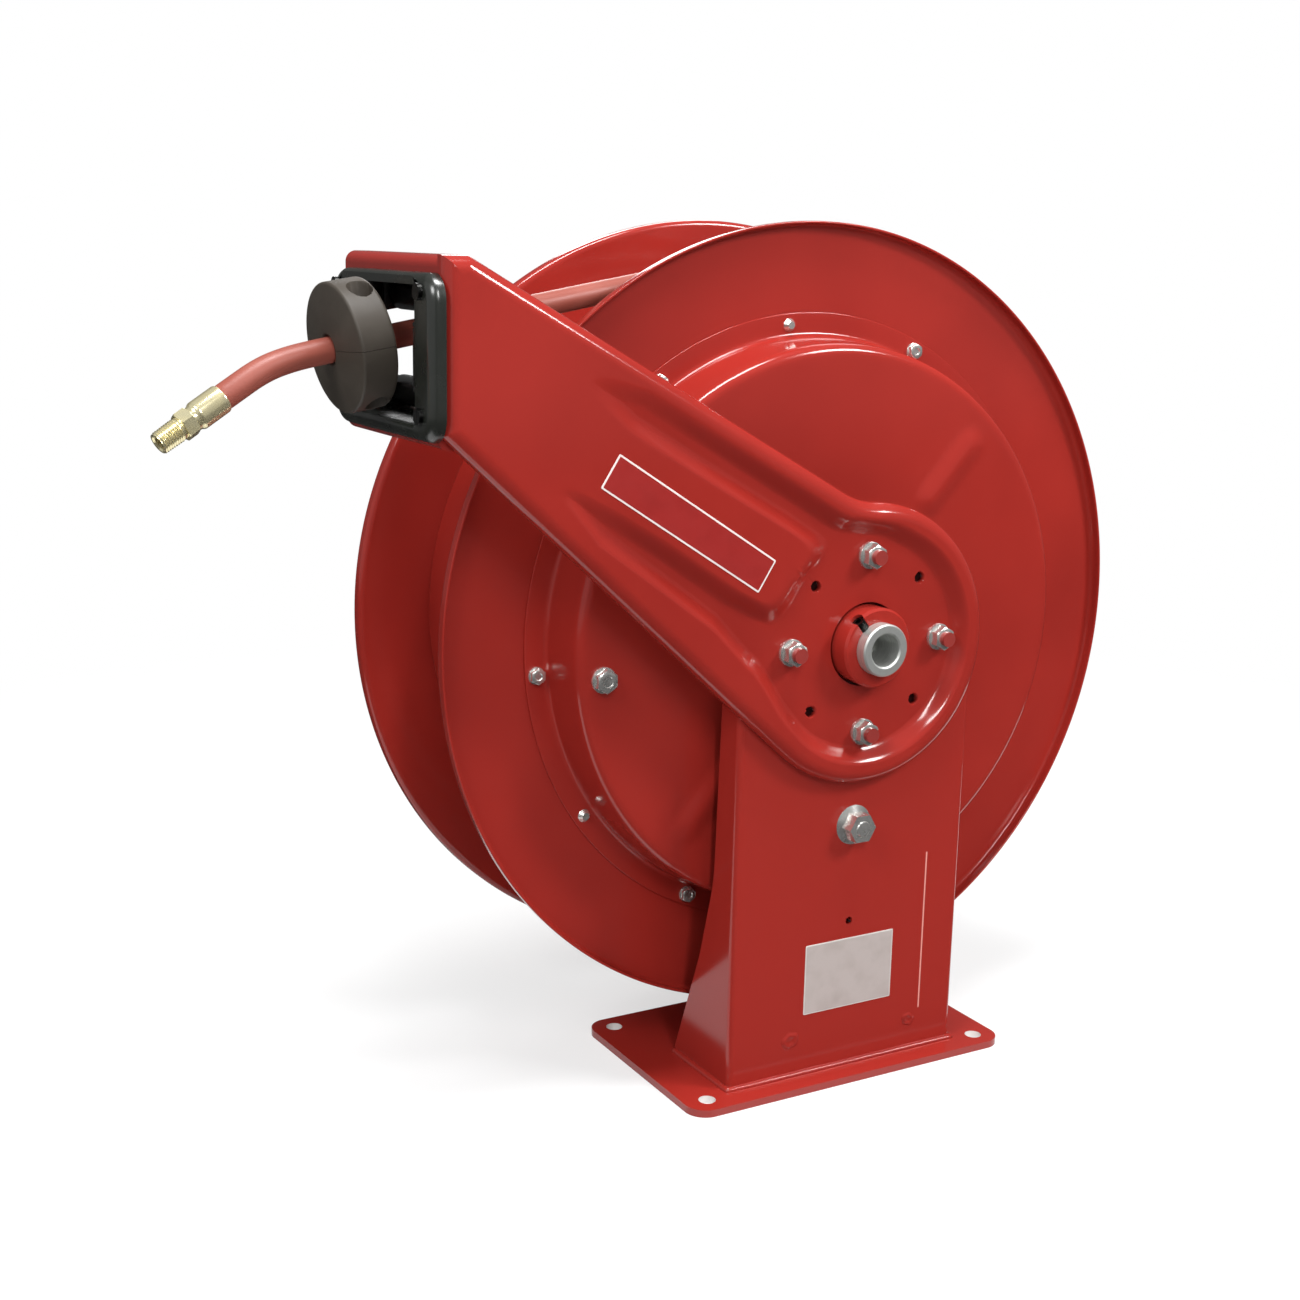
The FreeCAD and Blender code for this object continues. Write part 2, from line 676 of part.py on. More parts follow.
def flange_nut(name, bore, flats, flange, spot):
    """Hex nut with a round flange, standing on a face that looks to the front."""
    along = Size.of(flats)
    washer = cone(name + "_flange", flange, along / 2, 2.2, spot, TO_FRONT)
    nut = prism(name + "_hex", flats, along * 0.62, spot, TO_FRONT)
    hole = cylinder(name + "_bore", bore, along, (spot[0], spot[1] + 1, spot[2]), TO_FRONT)
    return cut(name, fuse(name + "_body", washer, nut), hole)


def hub_nuts():
    made = []
    for turn in (0, 90, 180, 270):
        spot = on_axle(S.stud_circle, turn, FLOOR_FRONT)
        made.append(flange_nut("hub_nut_%d" % turn, S.stud_radius + 0.04, 14.3, 9.6, spot))
    piece(group("hub_nuts_group", made), "hub_nuts")


# Guide arm: one pressed sheet with a raised rim, two grooves, a flat floor and an end flange

def arm_outline(inset):
    """Arm's outline in the XZ plane, seen from the front, drawn inset by a distance."""
    centre = Vector(0, 0, S.shaft_height.value)
    upper, lower = math.radians(S.arm_upper_slope.value), math.radians(S.arm_lower_slope.value)
    lobe = S.arm_lobe.value - inset
    edge = S.arm_upper.value - inset
    neck = S.arm_neck.value + inset
    left = S.arm_end.value + inset
    top = FLANGE_TOP.value - inset
    upper_normal = Vector(math.sin(upper), 0, math.cos(upper))
    upper_run = Vector(math.cos(upper), 0, -math.sin(upper))
    lower_normal = Vector(-math.sin(lower), 0, -math.cos(lower))
    lower_run = Vector(math.cos(lower), 0, -math.sin(lower))
    slide = -math.sqrt((lobe + neck) ** 2 - (edge + neck) ** 2)
    hollow = centre + upper_normal * (edge + neck) + upper_run * slide
    on_line = centre + upper_normal * edge + upper_run * slide
    on_lobe = centre + (hollow - centre) * (lobe / (lobe + neck))
    neck_middle = hollow + (on_line + on_lobe - hollow * 2).normalize() * neck
    touch = centre + lower_normal * lobe
    lobe_middle = centre + Vector(math.cos(-0.4), 0, math.sin(-0.4)) * lobe
    corner = on_line - upper_run * ((top - on_line.z) / math.sin(upper))
    low_left = touch - lower_run * ((touch.x - left) / math.cos(lower))
    edges = [
        Part.LineSegment(Vector(left, 0, top), corner),
        Part.LineSegment(corner, on_line),
        Part.Arc(on_line, neck_middle, on_lobe),
        Part.Arc(on_lobe, lobe_middle, touch),
        Part.LineSegment(touch, low_left),
        Part.LineSegment(low_left, Vector(left, 0, top))]
    return Part.Wire([edge_line.toShape() for edge_line in edges])


def slab(wire, front, rear):
    """Solid between two places along Y with a given outline."""
    face = Part.Face(wire)
    face.translate(Vector(0, rear, 0))
    return face.extrude(Vector(0, front - rear, 0))


def between(first, second, first_radius, second_radius):
    """Outline round two circles in the XZ plane: two arcs and their common tangents."""
    run = second - first
    length = run.Length
    heading = math.atan2(run.z, run.x)
    spread = math.acos((first_radius - second_radius) / length)

    def at(centre, radius, angle):
        return centre + Vector(math.cos(angle), 0, math.sin(angle)) * radius

    one, two = heading + spread, heading - spread
    edges = [
        Part.LineSegment(at(second, second_radius, two), at(first, first_radius, two)),
        Part.Arc(at(first, first_radius, two), at(first, first_radius, heading + math.pi),
                 at(first, first_radius, one)),
        Part.LineSegment(at(first, first_radius, one), at(second, second_radius, one)),
        Part.Arc(at(second, second_radius, one), at(second, second_radius, heading),
                 at(second, second_radius, two))]
    # the outline starts again where it ended, so the order of the edges closes it
    return Part.Wire([edge_line.toShape() for edge_line in edges])


def arm_grooves():
    """Middle lines and radii of the two long grooves, from the far end to the hub."""
    centre = Vector(0, 0, S.shaft_height.value)
    upper = math.radians(S.arm_upper_slope.value)
    lower = math.radians(S.arm_lower_slope.value)

    def spot(normal, run, distance, along):
        return centre + normal * distance + run * along

    up_normal = Vector(math.sin(upper), 0, math.cos(upper))
    up_run = Vector(math.cos(upper), 0, -math.sin(upper))
    low_normal = Vector(-math.sin(lower), 0, -math.cos(lower))
    low_run = Vector(math.cos(lower), 0, -math.sin(lower))
    upper_edge, lower_edge = S.arm_upper.value, S.arm_lobe.value
    return [
        (spot(up_normal, up_run, upper_edge - 30, -240), spot(up_normal, up_run, upper_edge - 23, -62), 2.5, 8.5),
        (spot(low_normal, low_run, lower_edge - 33, -236), spot(low_normal, low_run, lower_edge - 30, -66), 2.5, 9.5)]


def guide_arm():
    rear, front, sheet_thick = S.post_front.value, ARM_FRONT.value, S.arm_sheet.value
    left, top, bottom = S.arm_end.value, FLANGE_TOP.value, FLANGE_BOTTOM.value
    lip, far = S.flange_lip.value, S.flange_rear.value
    radius = S.arm_edge_radius.value

    outer = slab(arm_outline(0), front, rear)
    rounded = [edge for edge in outer.Edges
               if all(abs(v.Y - front) < 1e-6 for v in edge.Vertexes)
               or all(abs(v.X - left) < 1e-6 and abs(v.Z - top) < 1e-6 for v in edge.Vertexes)]
    outer = outer.makeFillet(radius, rounded)
    block = Part.makeBox(lip, far - rear, top - bottom, Vector(left, rear, bottom))
    bends = [edge for edge in block.Edges if all(abs(v.X - left) < 1e-6 for v in edge.Vertexes)
             and abs(edge.Vertexes[0].Y - edge.Vertexes[-1].Y) > 1]
    outer = outer.fuse(block.makeFillet(radius, bends))

    inner = slab(arm_outline(sheet_thick), front + sheet_thick, rear + 1)
    hollow = Part.makeBox(lip, far - front, top - bottom - 2 * sheet_thick,
                          Vector(left + sheet_thick, front + sheet_thick, bottom + sheet_thick))
    bends = [edge for edge in hollow.Edges if all(abs(v.X - left - sheet_thick) < 1e-6 for v in edge.Vertexes)
             and abs(edge.Vertexes[0].Y - edge.Vertexes[-1].Y) > 1]
    hollow = hollow.makeFillet(radius - sheet_thick + 0.5, bends)

    centre = Vector(0, 0, S.shaft_height.value)
    floor, slope = S.arm_floor.value, S.arm_floor_slope.value
    floor_front = FLOOR_FRONT.value
    toward_front = Vector(0, -1, 0)
    dish = Part.makeCone(floor, floor + slope, floor_front - front,
                         centre + Vector(0, floor_front, 0), toward_front)
    step = sheet_thick * 1.1
    backing = Part.makeCone(floor + step - slope / 2, floor + slope / 2 + step, rear - front - sheet_thick,
                            centre + Vector(0, rear, 0), toward_front)
    backing = backing.fuse(Part.makeCylinder(floor, sheet_thick, centre + Vector(0, rear, 0), -toward_front))
    outer = outer.cut(dish)
    cavity = inner.cut(backing)

    depth = S.valley_depth.value
    for far_end, hub_end, far_radius, hub_radius in arm_grooves():
        wide = between(far_end, hub_end, far_radius + 3, hub_radius + 3)
        narrow = between(far_end, hub_end, far_radius, hub_radius)
        wide.translate(Vector(0, front, 0))
        narrow.translate(Vector(0, front + depth, 0))
        outer = outer.cut(Part.makeLoft([wide, narrow], True, True))
        cover = slab(between(far_end, hub_end, far_radius + step + 1, hub_radius + step + 1),
                     front + sheet_thick - 1, front + sheet_thick + depth)
        cavity = cavity.cut(cover)

    sheet_metal = outer.cut(cavity.fuse(hollow))
    bore = S.boss_radius.value + 1.6
    holes = [Part.makeCylinder(bore, 30, centre + Vector(0, rear + 9, 0), toward_front)]
    for turn in range(0, 360, 90):
        for angle, size in ((turn, S.stud_hole.value), (turn + 45, 3.2)):
            spoke = Vector(math.cos(math.radians(angle)), 0, math.sin(math.radians(angle)))
            foot = centre + spoke * S.stud_circle.value + Vector(0, rear + 9, 0)
            holes.append(Part.makeCylinder(size, 30, foot, toward_front))
    gap = 0.5
    wide = S.cage_width.value / 2 + S.cage_wall.value + gap
    tall = S.cage_tall.value / 2 + S.cage_wall.value + gap
    holes.append(Part.makeBox(sheet_thick + 2, 2 * wide, 2 * tall, Vector(
        left - 1, S.guide_y.value - wide, GUIDE_Z.value - tall)))
    for across, up in frame_screw_spots():
        holes.append(Part.makeCylinder(S.frame_screw.value + 0.2, sheet_thick + 2,
                                       Vector(left - 1, across.value, up.value), Vector(1, 0, 0)))
    drilled = sheet_metal.cut(Part.makeCompound(holes)).removeSplitter()
    # the pressing ends at the post's front, and the end flange is welded on behind it
    reach = far - rear + 1
    behind = Part.makeBox(lip + 1, reach, top - bottom + 2, Vector(left - 1, rear, bottom - 1))
    for label, shape in (("guide_arm", drilled.cut(behind)), ("arm_flange", drilled.common(behind))):
        made = doc.addObject("Part::Feature", label)
        made.Shape = shape.Solids[0]
        piece(made, label)


# Roller frame in the arm's end flange

def frame_screw_spots():
    """Four screws of the roller frame as (Y, Z)."""
    across = (S.bezel_width / 2 + S.cage_width / 2 + S.cage_wall) / 2
    up = S.cage_tall / 2 - 5
    return [(S.guide_y + side * across, GUIDE_Z + end * up) for side in (-1, 1) for end in (-1, 1)]


def roller_frame():
    """Moulded frame: a rounded bezel in front of the flange and a cage through it."""
    made = body("roller_frame")
    y, z = S.guide_y, GUIDE_Z
    face = sketch_on(made, "YZ_Plane", "bezel_face", S.arm_end)
    rectangle(face, (y - S.bezel_width / 2, z - S.bezel_tall / 2), (y + S.bezel_width / 2, z + S.bezel_tall / 2))
    pad(made, face, S.bezel_thick, "bezel_pad", away=True)
    corner = lambda edge: abs(edge.Vertexes[0].X - edge.Vertexes[-1].X) > 1
    round_edges(made, "bezel_corners", 13, corner)
    front = (S.arm_end - S.bezel_thick).value
    rim = lambda edge: all(abs(v.X - front) < 1e-6 for v in edge.Vertexes)
    round_edges(made, "bezel_rim", S.bezel_thick * 0.6, rim)
    shell = sketch_on(made, "YZ_Plane", "cage_outside", S.arm_end - 1)
    wide, tall = S.cage_width / 2 + S.cage_wall, S.cage_tall / 2 + S.cage_wall
    rectangle(shell, (y - wide, z - tall), (y + wide, z + tall))
    pad(made, shell, S.cage_depth + 1, "cage_pad")
    mouth = sketch_on(made, "YZ_Plane", "cage_inside", S.arm_end)
    rectangle(mouth, (y - S.cage_width / 2, z - S.cage_tall / 2), (y + S.cage_width / 2, z + S.cage_tall / 2))
    pocket(made, mouth, "cage_mouth")
    upright = sketch_on(made, "XY_Plane", "upright_pin_holes")
    level = sketch_on(made, "XZ_Plane", "level_pin_holes")
    for side in (-1, 1):
        circle(upright, upright_x(), y + side * upright_offset(), S.roller_pin + 0.02)
        circle(level, level_x(), z + side * level_offset(), S.roller_pin + 0.02)
    pocket(made, upright, "upright_pin_bores")
    pocket(made, level, "level_pin_bores")
    screws = sketch_on(made, "YZ_Plane", "frame_screw_holes", S.arm_end)
    for across, up in frame_screw_spots():
        circle(screws, across, up, S.frame_screw + 0.1)
    pocket(made, screws, "frame_screw_bores")
    piece(made, "roller_frame")


def upright_x():
    return S.arm_end + S.roller_plane


def level_x():
    return upright_x() + S.roller_step


def upright_offset():
    return S.mouth_width / 2 + S.roller_radius


def level_offset():
    return S.mouth_tall / 2 + S.roller_radius


def roller(label, length, spot, turn):
    """Moulded roller with rounded ends and a bore for its pin."""
    made = body(label)
    made.Placement = FreeCAD.Placement(Vector(), turn)
    for axis, size in zip("xyz", spot):
        bind(made, "Placement.Base." + axis, size)
    profile = sketch_on(made, "XZ_Plane", label + "_profile")
    bore, radius, half = S.roller_pin + S.roller_play, S.roller_radius, length / 2
    outline(profile, [
        (bore, -half), (radius - 2, -half), (radius, 3 - half), (radius, half - 3),
        (radius - 2, half), (bore, half)])
    turn_feature = made.newObject("PartDesign::Revolution", label + "_turn")
    turn_feature.Profile = profile
    turn_feature.ReferenceAxis = (profile, ["V_Axis"])
    turn_feature.Angle = 360
    made.Tip = turn_feature
    piece(made, label)


def rollers_and_pins():
    y, z = S.guide_y, GUIDE_Z
    tall, wide = S.cage_tall - 1.2, S.cage_width - 1.2
    upright = FreeCAD.Rotation()
    level = FreeCAD.Rotation(Vector(0, 0, 1), Vector(0, 1, 0))
    roller("roller_front", tall, (upright_x(), y - upright_offset(), z), upright)
    roller("roller_rear", tall, (upright_x(), y + upright_offset(), z), upright)
    roller("roller_top", wide, (level_x(), y, z + level_offset()), level)
    roller("roller_bottom", wide, (level_x(), y, z - level_offset()), level)
    pins = []
    pin_tall = S.cage_tall + 2 * S.cage_wall - 1
    pin_wide = S.cage_width + 2 * S.cage_wall - 1
    for side in (-1, 1):
        pins.append(cylinder("upright_pin_%d" % side, S.roller_pin, pin_tall,
                             (upright_x(), y + side * upright_offset(), z - pin_tall / 2)))
        pins.append(cylinder("level_pin_%d" % side, S.roller_pin, pin_wide,
                             (level_x(), y - pin_wide / 2, z + side * level_offset()), TO_Y))
    piece(group("roller_pins_group", pins), "roller_pins")


def frame_fasteners():
    screws, nuts = [], []
    for number, (across, up) in enumerate(frame_screw_spots()):
        name = "frame_screw_%d" % number
        seat = S.arm_end - S.bezel_thick
        shank = cylinder(name + "_shank", S.frame_screw, S.bezel_thick + S.arm_sheet + 7, (seat, across, up), TO_X)
        head = cylinder(name + "_head", S.frame_screw * 1.9, 2.4, (seat - 2.4, across, up), TO_X)
        screws.append(fuse(name, shank, head))
        spot = (S.arm_end + S.arm_sheet, across, up)
        nut = prism("frame_nut_%d_hex" % number, S.frame_screw * 3.4, 4, spot, TO_X)
        hole = cylinder("frame_nut_%d_bore" % number, S.frame_screw + 0.04, 6, (spot[0] - 1, across, up), TO_X)
        nuts.append(cut("frame_nut_%d" % number, nut, hole))
    piece(group("frame_screws_group", screws), "frame_screws")
    piece(group("frame_nuts_group", nuts), "frame_nuts")


# Drum: two discs with rolled edges, a core between them and a spring case in front

def drum_disc(label, outer_face, inner_face, eye):
    """Sheet disc whose edge is rolled through half a turn, away from the hose."""
    way = 1 if inner_face.value > outer_face.value else -1
    roll = S.curl_radius
    crest = S.disc_radius - roll
    middle = inner_face - way * roll
    made = turned_body(label, [
        (outer_face, eye), (inner_face, eye),
        (inner_face, crest, ((middle, S.disc_radius), (middle, crest))),
        (middle - way * roll, crest),
        (middle - way * (roll - S.disc_sheet), crest, ((middle, S.disc_radius - S.disc_sheet), (middle, crest))),
        (outer_face, crest)])
    return made


def drill_ring(owner, name, radius_circle, holes):
    """Holes through a round piece: a list of (angle, radius)."""
    drill = sketch_on(owner, "XZ_Plane", name)
    for angle, size in holes:
        circle(drill, *turned(radius_circle, angle), size)
    pocket(owner, drill, name + "_bores")


BOLT_TURNS = [5 + 60 * k for k in range(6)]
SCREW_TURNS = [35 + 60 * k for k in range(6)]


def case_holes():
    return ([(turn, S.case_bolt + 0.2) for turn in BOLT_TURNS]
            + [(turn, S.case_screw + 0.2) for turn in SCREW_TURNS])


def discs_and_core():
    front = drum_disc("front_disc", S.disc_front, CORE_FRONT, S.disc_eye)
    drill_ring(front, "front_disc_holes", CASE_BOLT_CIRCLE, case_holes())
    piece(front, "front_disc")
    rear = drum_disc("rear_disc", DISC_REAR, CORE_REAR, S.hub_sleeve + 0.3)
    drill_ring(rear, "rear_disc_holes", CASE_BOLT_CIRCLE, [(turn, S.case_bolt + 0.2) for turn in BOLT_TURNS])
    drill_ring(rear, "rear_hub_holes", S.rear_bolt_circle, [(turn, S.rear_bolt + 0.3) for turn in REAR_BOLT_TURNS])
    piece(rear, "rear_disc")
    sheet_thick = S.disc_sheet
    core = turned_body("drum_core_turned", [
        (CORE_FRONT, CORE_FLANGE), (CORE_FRONT, S.core_radius), (CORE_REAR, S.core_radius),
        (CORE_REAR, CORE_FLANGE), (CORE_REAR - sheet_thick, CORE_FLANGE),
        (CORE_REAR - sheet_thick, S.core_radius - sheet_thick),
        (CORE_FRONT + sheet_thick, S.core_radius - sheet_thick), (CORE_FRONT + sheet_thick, CORE_FLANGE)])
    drill_ring(core, "core_holes", CASE_BOLT_CIRCLE, case_holes())
    reach = S.core_radius - CORE_FLANGE
    spot = on_axle(CORE_FLANGE, RISER_TURN, S.swivel_front + S.swivel_length / 2)
    drill = cylinder("core_riser_drill", S.riser_radius + 0.2, reach + 5, spot, radial(RISER_TURN))
    piece(cut("drum_core_drilled", core, drill), "drum_core")


REAR_BOLT_TURNS = [45, 135, 225, 315]
RISER_TURN = 305


def radial(degrees):
    angle = math.radians(degrees)
    return FreeCAD.Rotation(Vector(0, 0, 1), Vector(math.cos(angle), 0, math.sin(angle)))


RIB_TURN = 48


def spring_case():
    """Deep drawn cover: bolted flange, sloping wall, flat front with two pressed ribs."""
    thick, corner = S.disc_sheet, S.case_corner
    front, flange = S.case_front, S.disc_front - S.disc_sheet
    inner = corner - thick
    bend = 1 - math.sqrt(0.5)
    turning_point = (front + corner, CASE_TOP - corner)
    made = turned_body("spring_case", [
        (S.disc_front, CASE_FOOT - thick), (S.disc_front, CASE_FLANGE), (flange, CASE_FLANGE),
        (flange, CASE_FOOT),
        (front + corner, CASE_TOP,
         ((front + corner * bend, CASE_TOP - corner * bend), turning_point)),
        (front, CASE_TOP - corner), (front, S.hub_sleeve + 0.3), (front + thick, S.hub_sleeve + 0.3),
        (front + thick, CASE_TOP - corner,
         ((front + thick + inner * bend, CASE_TOP - thick - inner * bend), turning_point)),
        (front + corner, CASE_TOP - thick)])
    rib = sketch_on(made, "XZ_Plane", "rib_plan", -front)
    slot_outline(rib, RIB_INNER, RIB_OUTER, S.rib_half, RIB_TURN)
    raised = pad(made, rib, S.rib_rise, "pressed_rib")
    polar(made, raised, 2, "pressed_ribs")
    level = (front - S.rib_rise).value
    crest = lambda edge: all(abs(v.Y - level) < 1e-6 for v in edge.Vertexes)
    round_edges(made, "rib_edges", S.rib_rise * 0.8, crest)
    drill_ring(made, "case_holes", CASE_BOLT_CIRCLE, case_holes())
    drill = sketch_on(made, "XZ_Plane", "anchor_hole")
    circle(drill, *turned(ANCHOR_CIRCLE, S.anchor_turn), S.anchor_bolt + 0.1)
    pocket(made, drill, "anchor_bore")
    piece(made, "spring_case")


def slot_outline(sketch, inner, outer, half, degrees):
    """Slot along a radius: two straight sides and two round ends."""
    def corner(along, side):
        across_run, up_run = turned(along, degrees)
        across_side, up_side = turned(half * side, degrees + 90)
        return across_run + across_side, up_run + up_side

    outline(sketch, [
        corner(inner, 1), corner(outer, 1) + ((turned(outer + half, degrees), turned(outer, degrees)),),
        corner(outer, -1), corner(inner, -1) + ((turned(inner - half, degrees), turned(inner, degrees)),)])


# hexagons in proportion to the radius of their thread
ACROSS_FLATS = 3.3
HEAD_HEIGHT = 1.3
NUT_HEIGHT = 1.5


def hex_bolt(name, radius, shank, spot, turn, way):
    """Hex bolt: head outside the seat, shank behind it. way is +1 when the shank runs along +Y."""
    stem = cylinder(name + "_shank", radius, shank, spot, turn)
    head = radius * HEAD_HEIGHT
    start = (spot[0], spot[1] - way * head, spot[2])
    top = prism(name + "_head", radius * ACROSS_FLATS, head, start, turn)
    return fuse(name, stem, top)


def nut(name, radius, spot):
    height = radius * NUT_HEIGHT
    block = prism(name + "_hex", radius * ACROSS_FLATS, height, spot, TO_Y)
    hole = cylinder(name + "_bore", radius + 0.04, height * 2, (spot[0], spot[1] - height / 2, spot[2]), TO_Y)
    return cut(name, block, hole)


def case_fasteners():
    seat = S.disc_front - S.disc_sheet
    inside = CORE_FRONT + S.disc_sheet
    bolts, screws, nuts = [], [], []
    for number, angle in enumerate(BOLT_TURNS):
        spot = on_axle(CASE_BOLT_CIRCLE, angle, seat)
        length = inside - seat + S.case_bolt * 2
        bolts.append(hex_bolt("case_bolt_%d" % number, S.case_bolt, length, spot, TO_Y, 1))
        nuts.append(nut("case_nut_%d" % number, S.case_bolt, on_axle(CASE_BOLT_CIRCLE, angle, inside)))
    for number, angle in enumerate(SCREW_TURNS):
        spot = on_axle(CASE_BOLT_CIRCLE, angle, seat)
        name = "case_screw_%d" % number
        shank = cylinder(name + "_shank", S.case_screw, inside - seat + S.case_screw * 2, spot, TO_Y)
        head = cone(name + "_head", S.case_screw * 1.8, S.case_screw, S.case_screw * 1.08, spot, TO_FRONT)
        screws.append(fuse(name, shank, head))
        nuts.append(nut("case_small_nut_%d" % number, S.case_screw, on_axle(CASE_BOLT_CIRCLE, angle, inside)))
    piece(group("case_bolts_group", bolts), "case_bolts")
    piece(group("case_screws_group", screws), "case_screws")
    piece(group("case_nuts_group", nuts), "case_nuts")
    bolts, nuts = [], []
    for number, angle in enumerate(BOLT_TURNS):
        spot = on_axle(CASE_BOLT_CIRCLE, angle, DISC_REAR)
        length = (S.disc_sheet + S.case_bolt) * 2
        bolts.append(hex_bolt("rear_bolt_%d" % number, S.case_bolt, length, spot, TO_FRONT, -1))
        nuts.append(nut("rear_nut_%d" % number, S.case_bolt, on_axle(
            CASE_BOLT_CIRCLE, angle, CORE_REAR - S.disc_sheet - S.case_bolt * NUT_HEIGHT)))
    piece(group("rear_bolts_group", bolts), "rear_bolts")
    piece(group("rear_nuts_group", nuts), "rear_nuts")


# Bearings and hubs of the drum

def drum_bearings():
    bore = S.shaft_radius + S.bush_play
    hub_bore = BUSH_OUTER + 0.03
    case_inside = S.case_front + S.disc_sheet
    front = turned_body("drum_front_hub", [
        (HUB_FRONT + S.washer, hub_bore), (HUB_FRONT + S.washer, S.hub_sleeve), (RATCHET_REAR, S.hub_sleeve),
        (RATCHET_REAR, S.hub_shoulder), (S.case_front, S.hub_shoulder), (S.case_front, S.hub_sleeve),
        (case_inside + 6, S.hub_sleeve), (case_inside + 6, hub_bore)])
    screws = sketch_on(front, "XZ_Plane", "front_hub_taps")
    for turn in REAR_BOLT_TURNS:
        circle(screws, *turned(S.ratchet_screw_circle, turn), S.ratchet_screw + 0.05)
    pocket(front, screws, "front_hub_threads")
    piece(front, "drum_front_hub")
    piece(turned_body("bush_front", [
        (HUB_FRONT, bore), (HUB_FRONT, S.bush_flange), (HUB_FRONT + S.washer, S.bush_flange),
        (HUB_FRONT + S.washer, BUSH_OUTER), (case_inside + 6, BUSH_OUTER), (case_inside + 6, bore)]), "bush_front")
    rear_face, inner_end = DISC_REAR + S.rear_hub_out, DISC_REAR - S.rear_hub_in
    seat = DISC_REAR + S.rear_flange_sheet
    rear = turned_body("drum_rear_hub", [
        (inner_end, hub_bore), (inner_end, S.hub_sleeve), (DISC_REAR, S.hub_sleeve),
        (DISC_REAR, S.rear_flange), (seat, S.rear_flange), (seat, S.hub_sleeve + 4),
        (rear_face, S.hub_sleeve), (rear_face, hub_bore)])
    drill_ring(rear, "rear_hub_bolt_holes", S.rear_bolt_circle, [(turn, S.rear_bolt + 0.3) for turn in REAR_BOLT_TURNS])
    piece(rear, "drum_rear_hub")
    piece(turned_body("bush_rear", [
        (inner_end, bore), (inner_end, BUSH_OUTER), (rear_face, BUSH_OUTER),
        (rear_face, S.bush_flange), (rear_face + S.washer, S.bush_flange), (rear_face + S.washer, bore)]), "bush_rear")
    washers = [
        turned_body("washer_front", tube_corners(COLLAR_REAR, HUB_FRONT, S.shaft_radius + 0.3, S.collar_radius - 1)),
        turned_body("washer_rear", tube_corners(rear_face + S.washer, rear_face + 2 * S.washer,
                                                S.shaft_radius + 0.3, S.bush_flange + 1))]
    piece(group("thrust_washers_group", washers), "thrust_washers")
    ring = turned_body("retaining_ring_turned", tube_corners(
        GROOVE_FRONT + 0.1, GROOVE_REAR - 0.1, GROOVE_FLOOR + 0.1, S.shaft_radius * 1.29))
    piece(ring, "retaining_ring")
    bolts, nuts = [], []
    for number, angle in enumerate(REAR_BOLT_TURNS):
        spot = on_axle(S.rear_bolt_circle, angle, seat)
        length = seat - CORE_REAR + S.rear_bolt * NUT_HEIGHT + 2.5
        bolts.append(hex_bolt("rear_hub_bolt_%d" % number, S.rear_bolt, length, spot, TO_FRONT, -1))
        nuts.append(nut("rear_hub_nut_%d" % number, S.rear_bolt,
                        on_axle(S.rear_bolt_circle, angle, CORE_REAR - S.rear_bolt * NUT_HEIGHT)))
    piece(group("rear_hub_bolts_group", bolts), "rear_hub_bolts")
    piece(group("rear_hub_nuts_group", nuts), "rear_hub_nuts")


# Latch: notched ratchet on the drum, pawl on a pivot in the post

HOLDING_TURNS = [36 + 21.6 * k for k in range(6)]


def ratchet():
    """Plate with two gaps in which the pawl can turn over, and holding notches between them."""
    made = body("ratchet", AXLE)
    rim, beyond = S.ratchet_radius, S.ratchet_radius + 2
    plan = sketch_on(made, "XZ_Plane", "ratchet_plan", -S.ratchet_front)
    circle(plan, 0, 0, rim)
    circle(plan, 0, 0, S.hub_sleeve + 0.05)
    for turn in REAR_BOLT_TURNS:
        circle(plan, *turned(S.ratchet_screw_circle, turn), S.ratchet_screw + 0.3)
    pad(made, plan, S.ratchet_thick, "ratchet_pad", away=True)
    left, right = -90 - S.gap_half, -90 + S.gap_half
    floor = rim - S.gap_depth
    gap = sketch_on(made, "XZ_Plane", "gap_plan", -S.ratchet_front)
    outline(gap, [
        turned(floor, left) + ((turned(floor, -90), (0, 0)),), turned(floor, right),
        turned(beyond, right) + ((turned(beyond, -90), (0, 0)),), turned(beyond, left)])
    polar(made, pocket(made, gap, "gap", S.ratchet_thick + 1), 2, "gaps")
    notches = sketch_on(made, "XZ_Plane", "notch_plan", -S.ratchet_front)
    half = S.notch_width / 2
    for turn in HOLDING_TURNS:
        def corner(side, radius):
            across, up = turned(radius, turn - 90)
            across_side, up_side = turned(side, turn)
            return across + across_side, up + up_side
        outline(notches, [
            corner(-half, beyond), corner(half, beyond),
            corner(half, rim - S.notch_depth), corner(-half * 0.6, rim - S.notch_depth)])
    polar(made, pocket(made, notches, "notches", S.ratchet_thick + 1), 2, "all_notches")
    piece(made, "ratchet")
    screws = []
    for number, angle in enumerate(REAR_BOLT_TURNS):
        spot = on_axle(S.ratchet_screw_circle, angle, S.ratchet_front)
        name = "ratchet_screw_%d" % number
        thread = S.ratchet_screw
        shank = cylinder(name + "_shank", thread, S.ratchet_thick + thread * 2, spot, TO_Y)
        head = cylinder(name + "_head", thread * 1.6, thread * 0.87, spot, TO_FRONT)
        screws.append(fuse(name, shank, head))
    piece(group("ratchet_screws_group", screws), "ratchet_screws")


PAWL_FRONT = S.ratchet_front + 0.5


